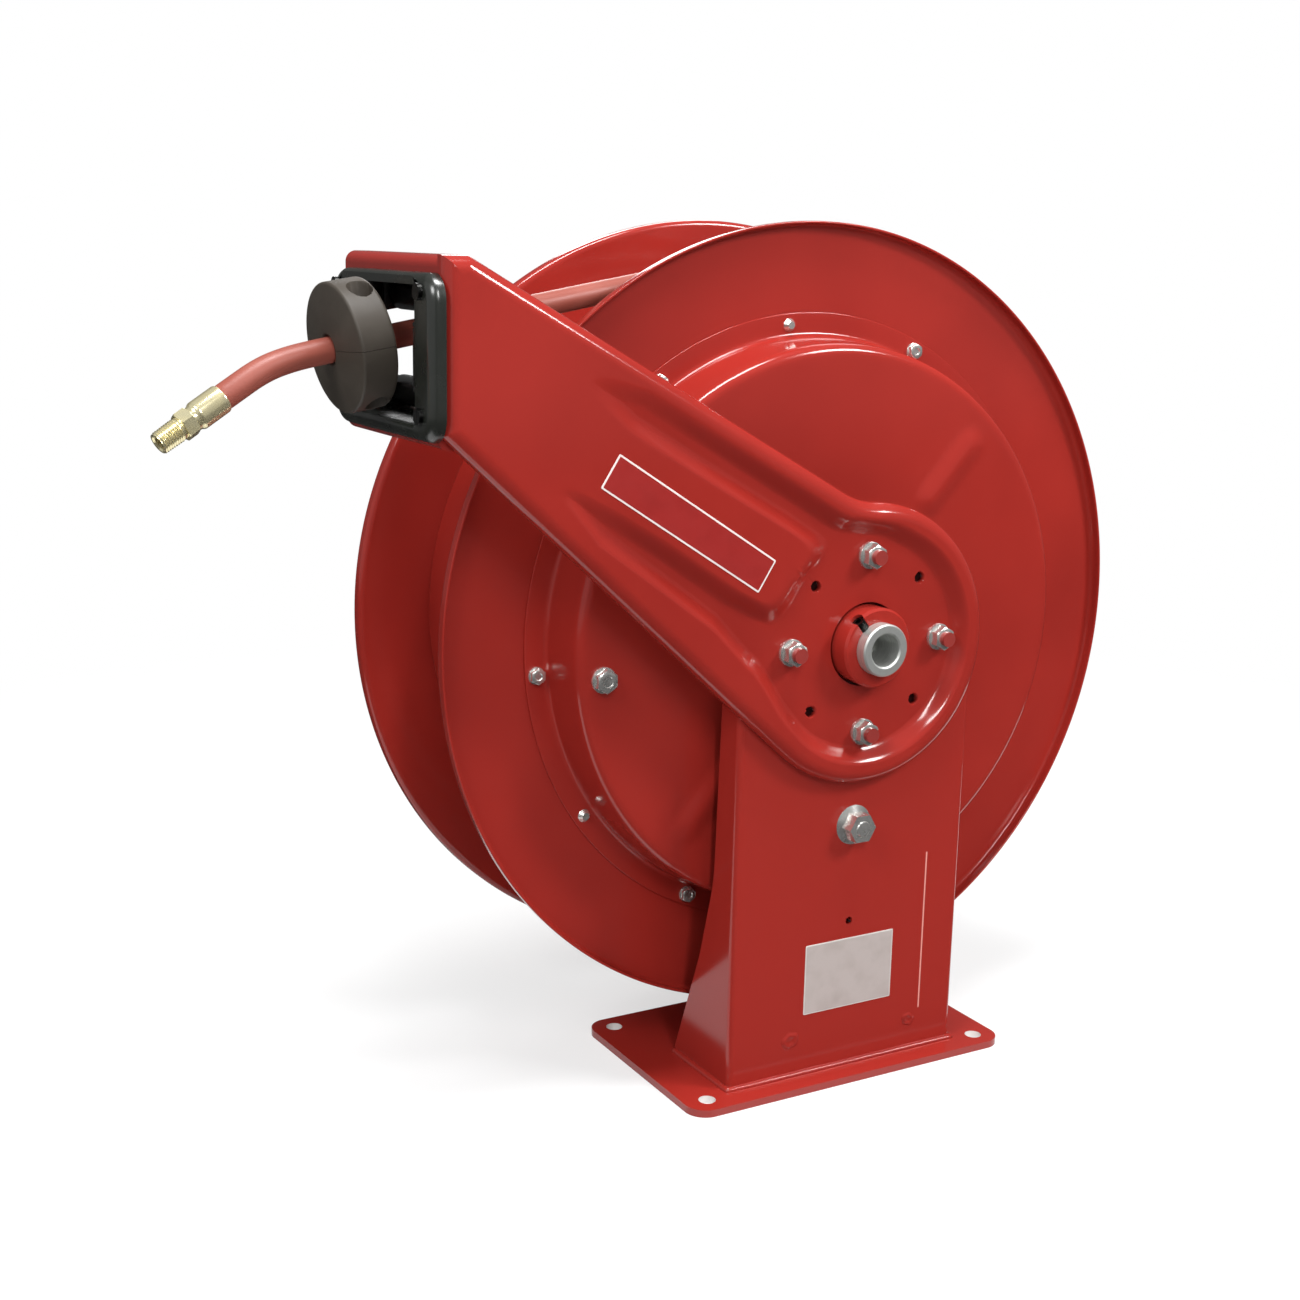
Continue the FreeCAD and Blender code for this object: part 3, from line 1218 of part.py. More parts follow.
def latch_pawl():
    """Flat pawl with a round eye, a tapered nose and a short tail for its spring."""
    made = body("latch_pawl")
    made.Placement = FreeCAD.Placement(Vector(), FreeCAD.Rotation(Vector(0, 1, 0), -S.pawl_lean.value))
    bind(made, "Placement.Base.x", 0)
    bind(made, "Placement.Base.y", PAWL_FRONT + S.pawl_thick)
    bind(made, "Placement.Base.z", PAWL_HEIGHT)
    plan = sketch_on(made, "XZ_Plane", "pawl_plan")
    eye = S.pivot_radius + 5.5
    reach, tail = S.pawl_reach, S.pawl_tail
    outline(plan, [
        (-4, -tail - 5), (4, -tail - 5), (eye * 0.8, -eye * 0.6, ((eye, 0), (0, 0))), (eye * 0.8, eye * 0.6),
        (4.5, reach), (-4.5, reach), (-eye * 0.8, eye * 0.6, ((-eye, 0), (0, 0))), (-eye * 0.8, -eye * 0.6)])
    circle(plan, 0, 0, S.pivot_radius + 0.05)
    circle(plan, 0, -tail, 1.9)
    pad(made, plan, S.pawl_thick, "pawl_pad")
    piece(made, "latch_pawl")


def pawl_pivot():
    """Shouldered stud through the post, its flange nut in front and the clip behind the pawl."""
    clip_rear = PAWL_FRONT + S.pawl_thick + 0.2
    neck = S.pivot_radius - 1.6
    stud = body("pawl_stud", (0, 0, PAWL_HEIGHT))
    profile = sketch_on(stud, "YZ_Plane", "pawl_stud_profile")
    outline(profile, [
        (S.post_front - 11.5, 0), (S.post_front - 11.5, neck - 0.8), (S.post_front - 10.5, neck),
        (POST_REAR, neck), (POST_REAR, 11), (PAWL_FRONT - 0.2, 11), (PAWL_FRONT - 0.2, S.pivot_radius),
        (clip_rear, S.pivot_radius), (clip_rear, S.pivot_radius - 1.4), (clip_rear + 1, S.pivot_radius - 1.4),
        (clip_rear + 1, S.pivot_radius), (clip_rear + 2, S.pivot_radius - 0.5), (clip_rear + 2, 0)])
    revolve(stud, profile, "pawl_stud_turn")
    piece(stud, "pawl_pivot")
    piece(flange_nut("pivot_nut_body", neck + 0.04, 17.5, 13.3, (0, S.post_front, PAWL_HEIGHT)), "pivot_nut")
    clip = body("pawl_clip_body", (0, 0, PAWL_HEIGHT))
    ring = sketch_on(clip, "YZ_Plane", "pawl_clip_profile")
    outline(ring, tube_corners(clip_rear + 0.05, clip_rear + 0.95, S.pivot_radius - 1.3, S.pivot_radius + 2.5))
    revolve(clip, ring, "pawl_clip_turn")
    piece(clip, "pawl_clip")


def pawl_spring():
    """Extension spring in front of the pawl, hooked in the pawl's tail and in the post's hole."""
    lean = math.radians(S.pawl_lean.value)
    tail, wire, coil = S.pawl_tail.value, S.spring_wire.value, S.spring_coil.value
    hook_x, hook_z = tail * math.sin(lean), PAWL_HEIGHT.value - tail * math.cos(lean)
    pawl_rear = (PAWL_FRONT + S.pawl_thick).value
    upper = Vector(hook_x, PAWL_FRONT.value - 2.8, hook_z)
    lower = Vector(0, POST_REAR.value + 4, SPRING_ANCHOR.value)
    run = lower - upper
    heading = Vector(run).normalize()
    margin = 9
    upper_hook = Part.makeCylinder(wire, pawl_rear + 0.6 - upper.y, upper, Vector(0, 1, 0))
    lower_hook = Part.makeCylinder(wire, lower.y - S.post_front.value + 0.8, lower, Vector(0, -1, 0))
    middle = Part.makeCylinder(wire, run.Length, upper, heading)
    body_of_turns = Part.makeCylinder(coil, run.Length - 2 * margin, upper + heading * margin, heading)
    corners = [Part.makeSphere(wire, spot) for spot in (upper, lower)]
    feature = doc.addObject("Part::Feature", "pawl_spring")
    feature.Shape = upper_hook.fuse([lower_hook, middle, body_of_turns] + corners).removeSplitter()
    piece(feature, "pawl_spring")


# Spring motor inside the case

def spring_motor():
    bore = S.shaft_radius + 0.05
    front = S.case_front + S.disc_sheet + 8
    arbor = turned_body("spring_arbor", tube_corners(front, front + S.spring_width, bore, S.arbor_radius))
    piece(arbor, "spring_arbor")
    feature = doc.addObject("Part::Feature", "power_spring")
    feature.Shape = spiral_strip(front.value)
    piece(feature, "power_spring")
    spot = on_axle(ANCHOR_CIRCLE, S.anchor_turn, S.case_front)
    shank = S.disc_sheet + 8 + S.spring_width
    bolt = hex_bolt("anchor_bolt_body", S.anchor_bolt, shank, spot, TO_Y, 1)
    piece(bolt, "anchor_bolt")


def spiral_strip(front):
    """Flat strip that winds outwards in half turns from the arbor to the anchor bolt."""
    strip = S.spring_strip.value
    first = S.arbor_radius.value + 0.3 + strip / 2
    last = ANCHOR_CIRCLE.value - S.anchor_bolt.value - 0.3 - strip / 2
    halves = int(2 * S.spring_turns.value)
    growth = (last - first) / halves
    start = math.radians(S.anchor_turn.value - 180 * halves)
    axis = Vector(0, front, S.shaft_height.value)

    def side(offset):
        edges, centre, radius, angle = [], Vector(axis), first, start
        for number in range(halves):
            reach = radius + offset + growth
            pivot = centre - Vector(math.cos(angle), 0, math.sin(angle)) * growth
            points = [pivot + Vector(math.cos(angle + part), 0, math.sin(angle + part)) * reach
                      for part in (0, math.pi / 2, math.pi)]
            edges.append(Part.Arc(*points))
            centre = pivot
            angle += math.pi
            radius += growth
        return edges

    # each half turn's centre steps back or forth by the growth, and its radius grows by as much
    inner, outer = side(-strip / 2), side(strip / 2)
    ends = [Part.LineSegment(inner[0].StartPoint, outer[0].StartPoint),
            Part.LineSegment(inner[-1].EndPoint, outer[-1].EndPoint)]
    wire = Part.Wire(Part.__sortEdges__([edge.toShape() for edge in inner + outer + ends]))
    return Part.Face(wire).extrude(Vector(0, S.spring_width.value, 0))


# Water swivel inside the drum

def swivel():
    front, rear = S.swivel_front, S.swivel_front + S.swivel_length
    bore, groove = S.shaft_radius + 0.08, S.shaft_radius + 3.9
    seal_a, seal_b = front + 4, rear - 8.4
    chamber = CHAMBER
    made = turned_body("swivel_turned", [
        (front, bore), (front, S.swivel_radius), (rear, S.swivel_radius), (rear, bore),
        (seal_b + 4.4, bore), (seal_b + 4.4, groove), (seal_b, groove), (seal_b, bore),
        (chamber + 6, bore), (chamber + 6, groove), (chamber - 6, groove), (chamber - 6, bore),
        (seal_a + 4.4, bore), (seal_a + 4.4, groove), (seal_a, groove), (seal_a, bore)])
    spot = on_axle(S.shaft_radius + 1, RISER_TURN, chamber)
    drill = cylinder("swivel_drill", S.riser_radius - S.riser_wall, S.swivel_radius, spot, radial(RISER_TURN))
    socket_spot = on_axle(S.swivel_radius - S.riser_seat - 0.1, RISER_TURN, chamber)
    socket = cylinder("swivel_socket", S.riser_radius + 0.05, S.riser_seat * 2, socket_spot, radial(RISER_TURN))
    piece(cut("swivel_body_cut", made, drill, socket), "swivel_body")
    seals = []
    for number, along in enumerate((seal_a + 2.2, seal_b + 2.2)):
        ring = doc.addObject("Part::Torus", "seal_%d" % number)
        bind(ring, "Radius1", S.shaft_radius + 0.3 + 1.7)
        bind(ring, "Radius2", 1.7)
        seals.append(place(ring, (0, along, S.shaft_height), TO_Y))
    piece(group("swivel_seals_group", seals), "swivel_seals")
    riser_pipe()


def riser_pipe():
    """Pipe from the swivel through the core, with an elbow that takes the hose's inner end."""
    start = S.swivel_radius - S.riser_seat
    length = ELBOW_REACH - start
    bore = S.riser_radius - S.riser_wall
    along, across = radial(RISER_TURN), radial(RISER_TURN + ELBOW_LEAN + 90)
    foot, knee = on_axle(start, RISER_TURN, CHAMBER), on_axle(ELBOW_REACH, RISER_TURN, CHAMBER)
    ball = doc.addObject("Part::Sphere", "riser_knee")
    bind(ball, "Radius", S.riser_radius)
    outside = fuse("riser_outside", cylinder("riser_stem", S.riser_radius, length, foot, along),
                   place(ball, knee), cylinder("riser_arm", S.hose_radius, ELBOW_ARM, knee, across))
    inside = fuse("riser_inside", cylinder("riser_stem_bore", bore, length, foot, along),
                  cylinder("riser_arm_bore", bore, ELBOW_ARM * 2, knee, across))
    piece(cut("riser_pipe_cut", outside, inside), "riser_pipe")


# Hose: winding on the drum, free run to the rollers, stop, tail and threaded end

LOWER_RADIUS = S.core_radius + S.wind_lift + S.hose_radius
UPPER_RADIUS = LOWER_RADIUS + 2 * S.hose_radius + S.wind_lift
WIND_FIRST = CORE_FRONT + S.wind_side + S.hose_radius
WIND_LEAVE = WIND_FIRST + S.wind_upper * S.wind_pitch
CHAMBER = S.swivel_front + S.swivel_length / 2
ELBOW_ARM = 2.2 * S.hose_radius
HOSE_STRAIGHT = 2 * S.hose_radius
ELBOW_REACH = math.hypot(LOWER_RADIUS.value, (ELBOW_ARM + HOSE_STRAIGHT).value)
ELBOW_LEAN = math.degrees(math.acos(LOWER_RADIUS.value / ELBOW_REACH))


def hose_line():
    """The straight line of the free hose: where it leaves the drum, and its direction."""
    centre = Vector(0, 0, S.shaft_height.value)
    radius = UPPER_RADIUS.value
    mouth = Vector(S.arm_end.value, S.guide_y.value, FREE_LEVEL.value)
    reach = math.hypot(mouth.x, mouth.z - centre.z)
    angle = math.atan2(mouth.z - centre.z, mouth.x) - math.acos(radius / reach)
    leave = centre + Vector(math.cos(angle), 0, math.sin(angle)) * radius
    leave.y = WIND_LEAVE.value
    return centre, angle, leave, mouth


def helix_point(centre, radius, angle, along):
    return centre + Vector(radius * math.cos(angle), along, radius * math.sin(angle))


def bend_between(start, heading, end):
    """Arc that leaves a point along a heading and reaches another point."""
    chord = end - start
    straight = Vector(chord)
    straight.normalize()
    sideways = heading - straight * heading.dot(straight)
    if sideways.Length < 1e-9:
        return Part.LineSegment(start, end)
    half = heading.getAngle(straight)
    sideways.normalize()
    middle = start + chord * 0.5 + sideways * (chord.Length / 2 * math.tan(half / 2))
    return Part.Arc(start, middle, end)


def biarc(start, heading, end, last_heading):
    """Two tangent arcs from a point and heading to another point and heading."""
    gap = end - start
    both = heading + last_heading
    spare = 2 * (1 - heading.dot(last_heading))
    along = gap.dot(both)
    if spare < 1e-12:
        reach = gap.dot(gap) / (2 * along)
    else:
        reach = (-along + math.sqrt(along * along + spare * gap.dot(gap))) / spare
    middle = (start + end + (heading - last_heading) * reach) * 0.5
    first = bend_between(start, heading, middle)
    second = bend_between(end, last_heading * -1, middle)
    return [first, second]


def tube_along(edges, start, heading, radius):
    """Round solid along a path, as a pipe shell in its default mode."""
    path = Part.Wire([edge.toShape() for edge in edges])
    ring = Part.Wire(Part.Circle(start, heading, radius).toShape())
    shell = Part.BRepOffsetAPI.MakePipeShell(path)
    shell.add(ring)
    shell.build()
    shell.makeSolid()
    return shell.shape()


STEP_TURN = 60


def winding_stations(angle):
    """Places along the hose on the drum, from where it leaves: (angle, radius, along, climb).

    The upper layer runs to the front disc, the hose steps down to the drum core, and the lower
    layer runs back to the elbow of the riser pipe. climb is the change along Y per radian."""
    quarter = math.pi / 2
    upper, lower = UPPER_RADIUS.value, LOWER_RADIUS.value
    first, leave, last = WIND_FIRST.value, WIND_LEAVE.value, CHAMBER.value
    pitch = S.wind_pitch.value
    climb = pitch / (2 * math.pi)
    above = round(4 * S.wind_upper.value)
    stations = [(angle - step * quarter, upper, leave - climb * step * quarter, -climb)
                for step in range(above)]
    stations.append((angle - above * quarter, upper, first, 0))
    down = angle - above * quarter - math.radians(STEP_TURN)
    elbow = math.radians(RISER_TURN + ELBOW_LEAN)
    full = 2 * math.pi
    part = (down - elbow) % full
    below = part + full * math.floor(((last - first) / pitch * full - part) / full)
    count = round(below / quarter)
    climb = (last - first) / below
    stations += [(down - below * step / count, lower, first + climb * below * step / count,
                  climb if 0 < step < count else 0) for step in range(count + 1)]
    return stations


def hose_winding():
    """Hose on the drum as one unbroken tube, with a straight piece at both ends."""
    centre, angle, leave, mouth = hose_line()
    stations = winding_stations(angle)
    points = [helix_point(centre, radius, turn, along) for turn, radius, along, climb in stations]
    headings = [Vector(math.sin(turn) * radius, climb, -math.cos(turn) * radius).normalize()
                for turn, radius, along, climb in stations]
    straight = HOSE_STRAIGHT.value
    end = points[0] - headings[0] * straight
    edges = [Part.LineSegment(end, points[0])]
    for number in range(len(points) - 1):
        edges += biarc(points[number], headings[number], points[number + 1], headings[number + 1])
    edges.append(Part.LineSegment(points[-1], points[-1] + headings[-1] * straight))
    section = S.hose_radius.value
    made = tube_along(edges, end, headings[0], section)
    length = sum(edge.length() for edge in edges)
    print("winding: length %.0f mm, volume over section times length %.4f"
          % (length, made.Volume / (math.pi * section ** 2 * length)))
    print("winding: %.2f loops, least gap to itself %.2f mm"
          % ((stations[0][0] - stations[-1][0]) / (2 * math.pi), least_gap(edges, centre, section)))
    print("winding: upper layer at %.2f, lower at %.2f, leaves at angle %.3f degrees, along %.2f"
          % (UPPER_RADIUS.value, LOWER_RADIUS.value, math.degrees(angle), WIND_LEAVE.value))
    feature = doc.addObject("Part::Feature", "hose_winding")
    feature.Shape = made
    piece(feature, "hose_winding")
    return end, headings[0] * -1


def least_gap(edges, centre, section):
    """Least distance from loop to loop, between points at the same angle round the axle."""
    at_angle = {}
    for number, edge in enumerate(edges[1:-1]):
        first, last = edge.FirstParameter, edge.LastParameter
        for step in range(60):
            spot = edge.value(first + (last - first) * step / 60) - centre
            degree = round(math.degrees(math.atan2(spot.z, spot.x)))
            at_angle.setdefault(degree, []).append((number, math.hypot(spot.x, spot.z), spot.y))
    best = min(math.hypot(a[1] - b[1], a[2] - b[2]) for spots in at_angle.values()
               for i, a in enumerate(spots) for b in spots[i + 1:] if abs(a[0] - b[0]) > 4)
    return best - 2 * section


def route(points):
    """Straight runs joined by tangent arcs, each as large as its two runs allow."""
    edges, at = [], points[0]
    for before, corner, after in zip(points, points[1:], points[2:]):
        run_in, run_out = corner - before, after - corner
        turn = run_in.getAngle(run_out)
        keep = 0.45 * min(run_in.Length, run_out.Length)
        radius = keep / math.tan(turn / 2)
        into, out = Vector(run_in).normalize(), Vector(run_out).normalize()
        first, second = corner - into * keep, corner + out * keep
        edges.append(Part.LineSegment(at, first))
        edges.append(bend_between(first, into, second))
        at = second
        print("  bend radius %.0f mm, turn %.1f degrees, run %.0f mm"
              % (radius, math.degrees(turn), run_in.Length))
    edges.append(Part.LineSegment(at, points[-1]))
    return edges


def hose_tube(label, points):
    print(label)
    edges = route(points)
    section = S.hose_radius.value
    made = tube_along(edges, points[0], (points[1] - points[0]).normalize(), section)
    length = sum(edge.length() for edge in edges)
    print("  length %.1f mm, volume over section times length %.4f"
          % (length, made.Volume / (math.pi * section ** 2 * length)))
    feature = doc.addObject("Part::Feature", label)
    feature.Shape = made
    piece(feature, label)


# places along the free end of the hose, from the stop's rear face: along the pull, and how far below it
TAIL_DROP = [(0, 0), (30, 0), (50, 1.4), (68, 5.4), (90, 14.9), (111.6, 24.8)]


def free_hose(start, heading):
    """Free run from the drum through the rollers to the stop, and the drooping tail beyond it."""
    mouth = hose_line()[3]
    bend = start + heading * (3 * HOSE_STRAIGHT.value)
    pull = (mouth - bend).normalize()
    stop = bend + pull * ((S.arm_end.value - S.stop_gap.value - bend.x) / pull.x)
    hose_tube("hose_run", [start, bend, stop])
    level = Vector(pull.x, pull.y, 0).normalize()
    dip = Vector(pull).cross(level.cross(Vector(0, 0, 1))).normalize()
    if dip.z > 0:
        dip = dip * -1
    tail = [stop + pull * along + dip * drop for along, drop in TAIL_DROP]
    hose_tube("hose_tail", tail)
    print("pull direction (%.5f, %.5f, %.5f)" % tuple(pull))
    print("stop's rear face (%.2f, %.2f, %.2f)" % tuple(stop))
    hose_stop(stop, pull)
    hose_end(tail[-1], (tail[-1] - tail[-2]).normalize())


def hose_stop(rear, pull):
    """Round rubber stop in two halves, clamped on the hose by two screws."""
    radius, thick = S.stop_radius.value, S.stop_thick.value
    split, hole = S.stop_split.value, S.hose_radius.value + 0.1
    screw = S.stop_screw.value
    turn = FreeCAD.Rotation(Vector(-1, 0, 0), pull)
    placed = FreeCAD.Placement(rear, turn)
    toward = Vector(-1, 0, 0)
    disc = Part.makeCylinder(radius, thick, Vector(), toward)
    disc = disc.makeFillet(2.2, [edge for edge in disc.Edges if len(edge.Vertexes) == 1 and edge.Length > radius])
    disc = disc.cut(Part.makeCylinder(hole, thick + 2, Vector(1, 0, 0), toward))
    disc = disc.cut(Part.makeCone(hole + 2.6, hole, 4, Vector(-thick, 0, 0), Vector(1, 0, 0)))
    middle = -thick / 2
    for side in (-1, 1):
        spot = Vector(middle, side * 2.3 * hole, 0)
        up = Vector(0, 0, 1)
        disc = disc.cut(Part.makeCylinder(screw + 0.1, 2 * radius, spot - up * radius, up))
        disc = disc.cut(Part.makeCylinder(screw * 2.1, radius, spot + up * (radius * 0.55), up))
        disc = disc.cut(Part.makeCylinder(screw * 2.1, radius, spot - up * (radius * 0.55), up * -1))
    for label, low, high in (("stop_upper", split / 2, radius + 1), ("stop_lower", -radius - 1, -split / 2)):
        window = Part.makeBox(thick + 2, 2 * radius + 2, high - low, Vector(-thick - 1, -radius - 1, low))
        half = disc.common(window)
        half.Placement = placed
        feature = doc.addObject("Part::Feature", label)
        feature.Shape = half
        piece(feature, label)
    screws = []
    for side in (-1, 1):
        spot = Vector(middle, side * 2.3 * hole, 0)
        seat = radius * 0.55
        up = Vector(0, 0, 1)
        shank = Part.makeCylinder(screw, 2 * seat + 4, spot - up * (seat + 4), up)
        head = Part.makeCylinder(screw * 1.8, 3.5, spot + up * seat, up)
        grip = Part.makeCylinder(screw * 1.8, 3.5, spot - up * seat, up * -1)
        grip = grip.cut(Part.makeCylinder(screw + 0.05, 6, spot - up * (seat - 1), up * -1))
        for shape in (shank.fuse(head), grip):
            shape.Placement = placed
            screws.append(shape)
    feature = doc.addObject("Part::Feature", "stop_screws")
    feature.Shape = Part.makeCompound(screws)
    piece(feature, "stop_screws")


def hose_end(end, heading):
    """Crimped ferrule on the hose, then the hex and the threaded male end of the fitting."""
    turn = FreeCAD.Rotation(Vector(0, 0, 1), heading)
    hose, ring = S.hose_radius.value, S.ferrule_radius.value
    length, thread = S.ferrule_length.value, S.outlet_radius.value
    start = end - heading * (length - 1)
    outer = [(hose + 0.05, 0), (ring - 0.4, 0), (ring, 0.8), (ring, length * 0.3), (ring - 0.35, length * 0.36),
             (ring, length * 0.42), (ring, length * 0.62), (ring - 0.35, length * 0.68), (ring, length * 0.74),
             (ring, length - 0.8), (ring - 0.4, length), (hose - 1.5, length), (hose - 1.5, length - 1),
             (hose + 0.05, length - 1)]
    collar = spin(outer)
    collar.Placement = FreeCAD.Placement(start, turn)
    feature = doc.addObject("Part::Feature", "ferrule")
    feature.Shape = collar
    piece(feature, "ferrule")
    hexagon = 7.2
    bore = thread - 3
    body_end = hexagon + S.outlet_length.value
    stem = spin([(bore, 0), (thread - 0.2, 0), (thread - 0.2, hexagon), (thread, hexagon + 0.6),
                 (thread, body_end - 1), (thread - 0.9, body_end), (bore, body_end)])
    flats = Part.makePolygon([Vector(8.3 * math.cos(math.radians(60 * k)), 8.3 * math.sin(math.radians(60 * k)), 0)
                              for k in range(7)])
    nut_solid = Part.Face(flats).extrude(Vector(0, 0, hexagon))
    nut_solid = nut_solid.common(spin([(0, 0), (7.6, 0), (8.4, 0.8), (8.4, hexagon - 0.8), (7.6, hexagon),
                                       (0, hexagon)]))
    fitting = stem.fuse(nut_solid.cut(Part.makeCylinder(bore, hexagon + 2, Vector(0, 0, -1))))
    fitting.Placement = FreeCAD.Placement(end + heading * 1.0, turn)
    feature = doc.addObject("Part::Feature", "hose_fitting")
    feature.Shape = fitting
    piece(feature, "hose_fitting")
    tip = end + heading * (1.0 + body_end)
    print("outlet: end (%.2f, %.2f, %.2f), direction (%.5f, %.5f, %.5f)" % (tuple(tip) + tuple(heading)))


def spin(corners):
    """Solid of revolution about Z from (radius, height) corners."""
    points = [Vector(radius, 0, height) for radius, height in corners]
    face = Part.Face(Part.makePolygon(points + [points[0]]))
    return face.revolve(Vector(), Vector(0, 0, 1), 360)


def check_cuts():
    """Every pocket must take something away."""
    for thing in doc.Objects:
        if thing.isDerivedFrom("PartDesign::Pocket"):
            before = thing.BaseFeature.Shape.Volume
            if thing.Shape.Volume > before - 1:
                raise RuntimeError("%s cuts nothing" % thing.Label)


def check_and_write():
    doc.recompute()
    check_cuts()
    for thing in doc.Objects:
        if "Invalid" in thing.State or "Error" in thing.State:
            raise RuntimeError("%s did not build: %s" % (thing.Label, thing.State))
    os.makedirs("parts", exist_ok=True)
    for made in PIECES:
        shape = made.Shape
        if shape.isNull() or not shape.isValid() or not shape.Solids:
            raise RuntimeError("%s has no valid solid" % made.Label)
        shape.exportStep("parts/%s.step" % made.Label)
    print("wrote %d pieces" % len(PIECES))


base_plate()
post()
post_ribs()
shaft_hub()
shaft_screw()
main_shaft()
hub_studs()
hub_nuts()
guide_arm()
roller_frame()
rollers_and_pins()
frame_fasteners()
discs_and_core()
spring_case()
case_fasteners()
drum_bearings()
ratchet()
latch_pawl()
pawl_pivot()
pawl_spring()
spring_motor()
swivel()
free_hose(*hose_winding())
check_and_write()
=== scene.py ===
# %% [markdown]
# # A spring driven hose reel
# The reel is a drum between two pressed discs, on a fixed shaft that a pedestal holds from one side.
# A pressed arm carries four rollers in front of the drum, and the hose runs out between them.
# Here every visible piece gets its looks: smooth surfaces worked out with numpy, and finishes
# made of shader nodes. The measured CAD model is loaded first, and it fixes every size.

# %% Load the measured model
import bmesh
import bpy
import json
import math
import numpy as np
from mathutils import Matrix

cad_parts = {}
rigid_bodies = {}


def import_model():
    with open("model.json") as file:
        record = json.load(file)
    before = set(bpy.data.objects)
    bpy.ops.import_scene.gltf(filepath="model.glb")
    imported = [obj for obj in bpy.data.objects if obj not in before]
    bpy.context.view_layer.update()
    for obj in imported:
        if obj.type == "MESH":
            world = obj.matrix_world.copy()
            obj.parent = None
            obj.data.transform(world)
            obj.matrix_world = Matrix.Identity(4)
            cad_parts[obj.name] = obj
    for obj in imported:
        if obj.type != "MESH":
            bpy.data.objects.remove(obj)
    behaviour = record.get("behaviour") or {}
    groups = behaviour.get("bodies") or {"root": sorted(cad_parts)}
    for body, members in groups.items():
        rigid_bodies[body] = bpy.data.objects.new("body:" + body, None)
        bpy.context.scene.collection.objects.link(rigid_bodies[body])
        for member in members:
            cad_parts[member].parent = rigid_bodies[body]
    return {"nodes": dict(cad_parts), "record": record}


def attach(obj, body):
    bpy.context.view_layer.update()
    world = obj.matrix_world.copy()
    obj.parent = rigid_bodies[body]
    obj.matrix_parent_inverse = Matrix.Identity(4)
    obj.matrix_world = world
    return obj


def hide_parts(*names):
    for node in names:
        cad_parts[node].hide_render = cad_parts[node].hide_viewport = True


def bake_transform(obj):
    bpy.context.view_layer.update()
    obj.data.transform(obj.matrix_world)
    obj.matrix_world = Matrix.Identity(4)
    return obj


for leftover in list(bpy.data.objects):
    bpy.data.objects.remove(leftover, do_unlink=True)
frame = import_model()
for plain in list(bpy.data.materials):
    bpy.data.materials.remove(plain)
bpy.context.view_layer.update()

# %% [markdown]
# ## Camera
# The camera stands where the photographer stood: a little above the drum's axle and to the left,
# with a lens a bit longer than normal. A Track To constraint could aim it, but it can't roll the
# view. So its three axes are worked out from two angles and a slight roll, and they are written
# into the camera's matrix. The helper put() does that for the lamps too.

# %% Camera
AZIMUTH, ELEVATION, ROLL = np.radians((-29.845, 12.726, 1.213))
CAMERA_SPOT, SENSOR_WIDTH, LENS = (-0.6774, -0.9692, 0.5396), 36.0, 50.49


def put(name, data, *axes_and_spot):
    """Puts data into the scene as an object; its three axes and its spot are a matrix's columns."""
    made = bpy.data.objects.new(name, data)
    bpy.context.scene.collection.objects.link(made)
    if axes_and_spot:
        matrix = np.eye(4)
        matrix[:3] = np.column_stack(axes_and_spot)
        made.matrix_world = Matrix(matrix.tolist())
    return made


def unit(vectors):
    """Vectors divided by their lengths."""
    return vectors / np.linalg.norm(vectors, axis=-1, keepdims=True)


back = np.array((np.sin(AZIMUTH) * np.cos(ELEVATION), -np.cos(AZIMUTH) * np.cos(ELEVATION),
                 np.sin(ELEVATION)))
level = np.array((np.cos(AZIMUTH), np.sin(AZIMUTH), 0.0))
rise = np.cross(back, level)
right = level * np.cos(ROLL) + rise * np.sin(ROLL)
upward = rise * np.cos(ROLL) - level * np.sin(ROLL)
camera = put("camera", bpy.data.cameras.new("camera"), right, upward, back, CAMERA_SPOT)
camera.data.sensor_width = SENSOR_WIDTH
camera.data.lens = LENS
camera.data.clip_start = 0.01
bpy.context.scene.camera = camera
print("camera at", [round(v, 4) for v in camera.matrix_world.translation])

# %% [markdown]
# ## Shader maths in plain Python
# A finish is a small network of nodes. It could be drawn by hand in the node editor, or written
# node by node, which soon hides what it works out. Three classes keep it readable. A Wire wraps one
# socket, and sums or products of wires add Math nodes. Nodes holds one node tree: its method node()
# adds any other node, sets its settings first, and then fills its sockets with values or wires.
# A Finish is the node tree of one material.

# %% Wires and finishes
class Wire:
    """One output socket. a + b, a * b and the like add a Math node that works it out."""

    def __init__(self, finish, socket):
        self.finish, self.socket = finish, socket

    def math(self, operation, first, second=0.0):
        return self.finish.node("ShaderNodeMath", {"operation": operation}, {0: first, 1: second})

    def __add__(self, other):
        return self.math("ADD", self, other)

    def __sub__(self, other):
        return self.math("SUBTRACT", self, other)

    def __mul__(self, other):
        return self.math("MULTIPLY", self, other)

    def __radd__(self, other):
        return self.math("ADD", other, self)

    def __rsub__(self, other):
        return self.math("SUBTRACT", other, self)

    def __rmul__(self, other):
        return self.math("MULTIPLY", other, self)

    def size(self):
        return self.math("ABSOLUTE", self)

    def beside(self, output):
        """Another output socket of the same node."""
        return Wire(self.finish, self.socket.node.outputs[output])


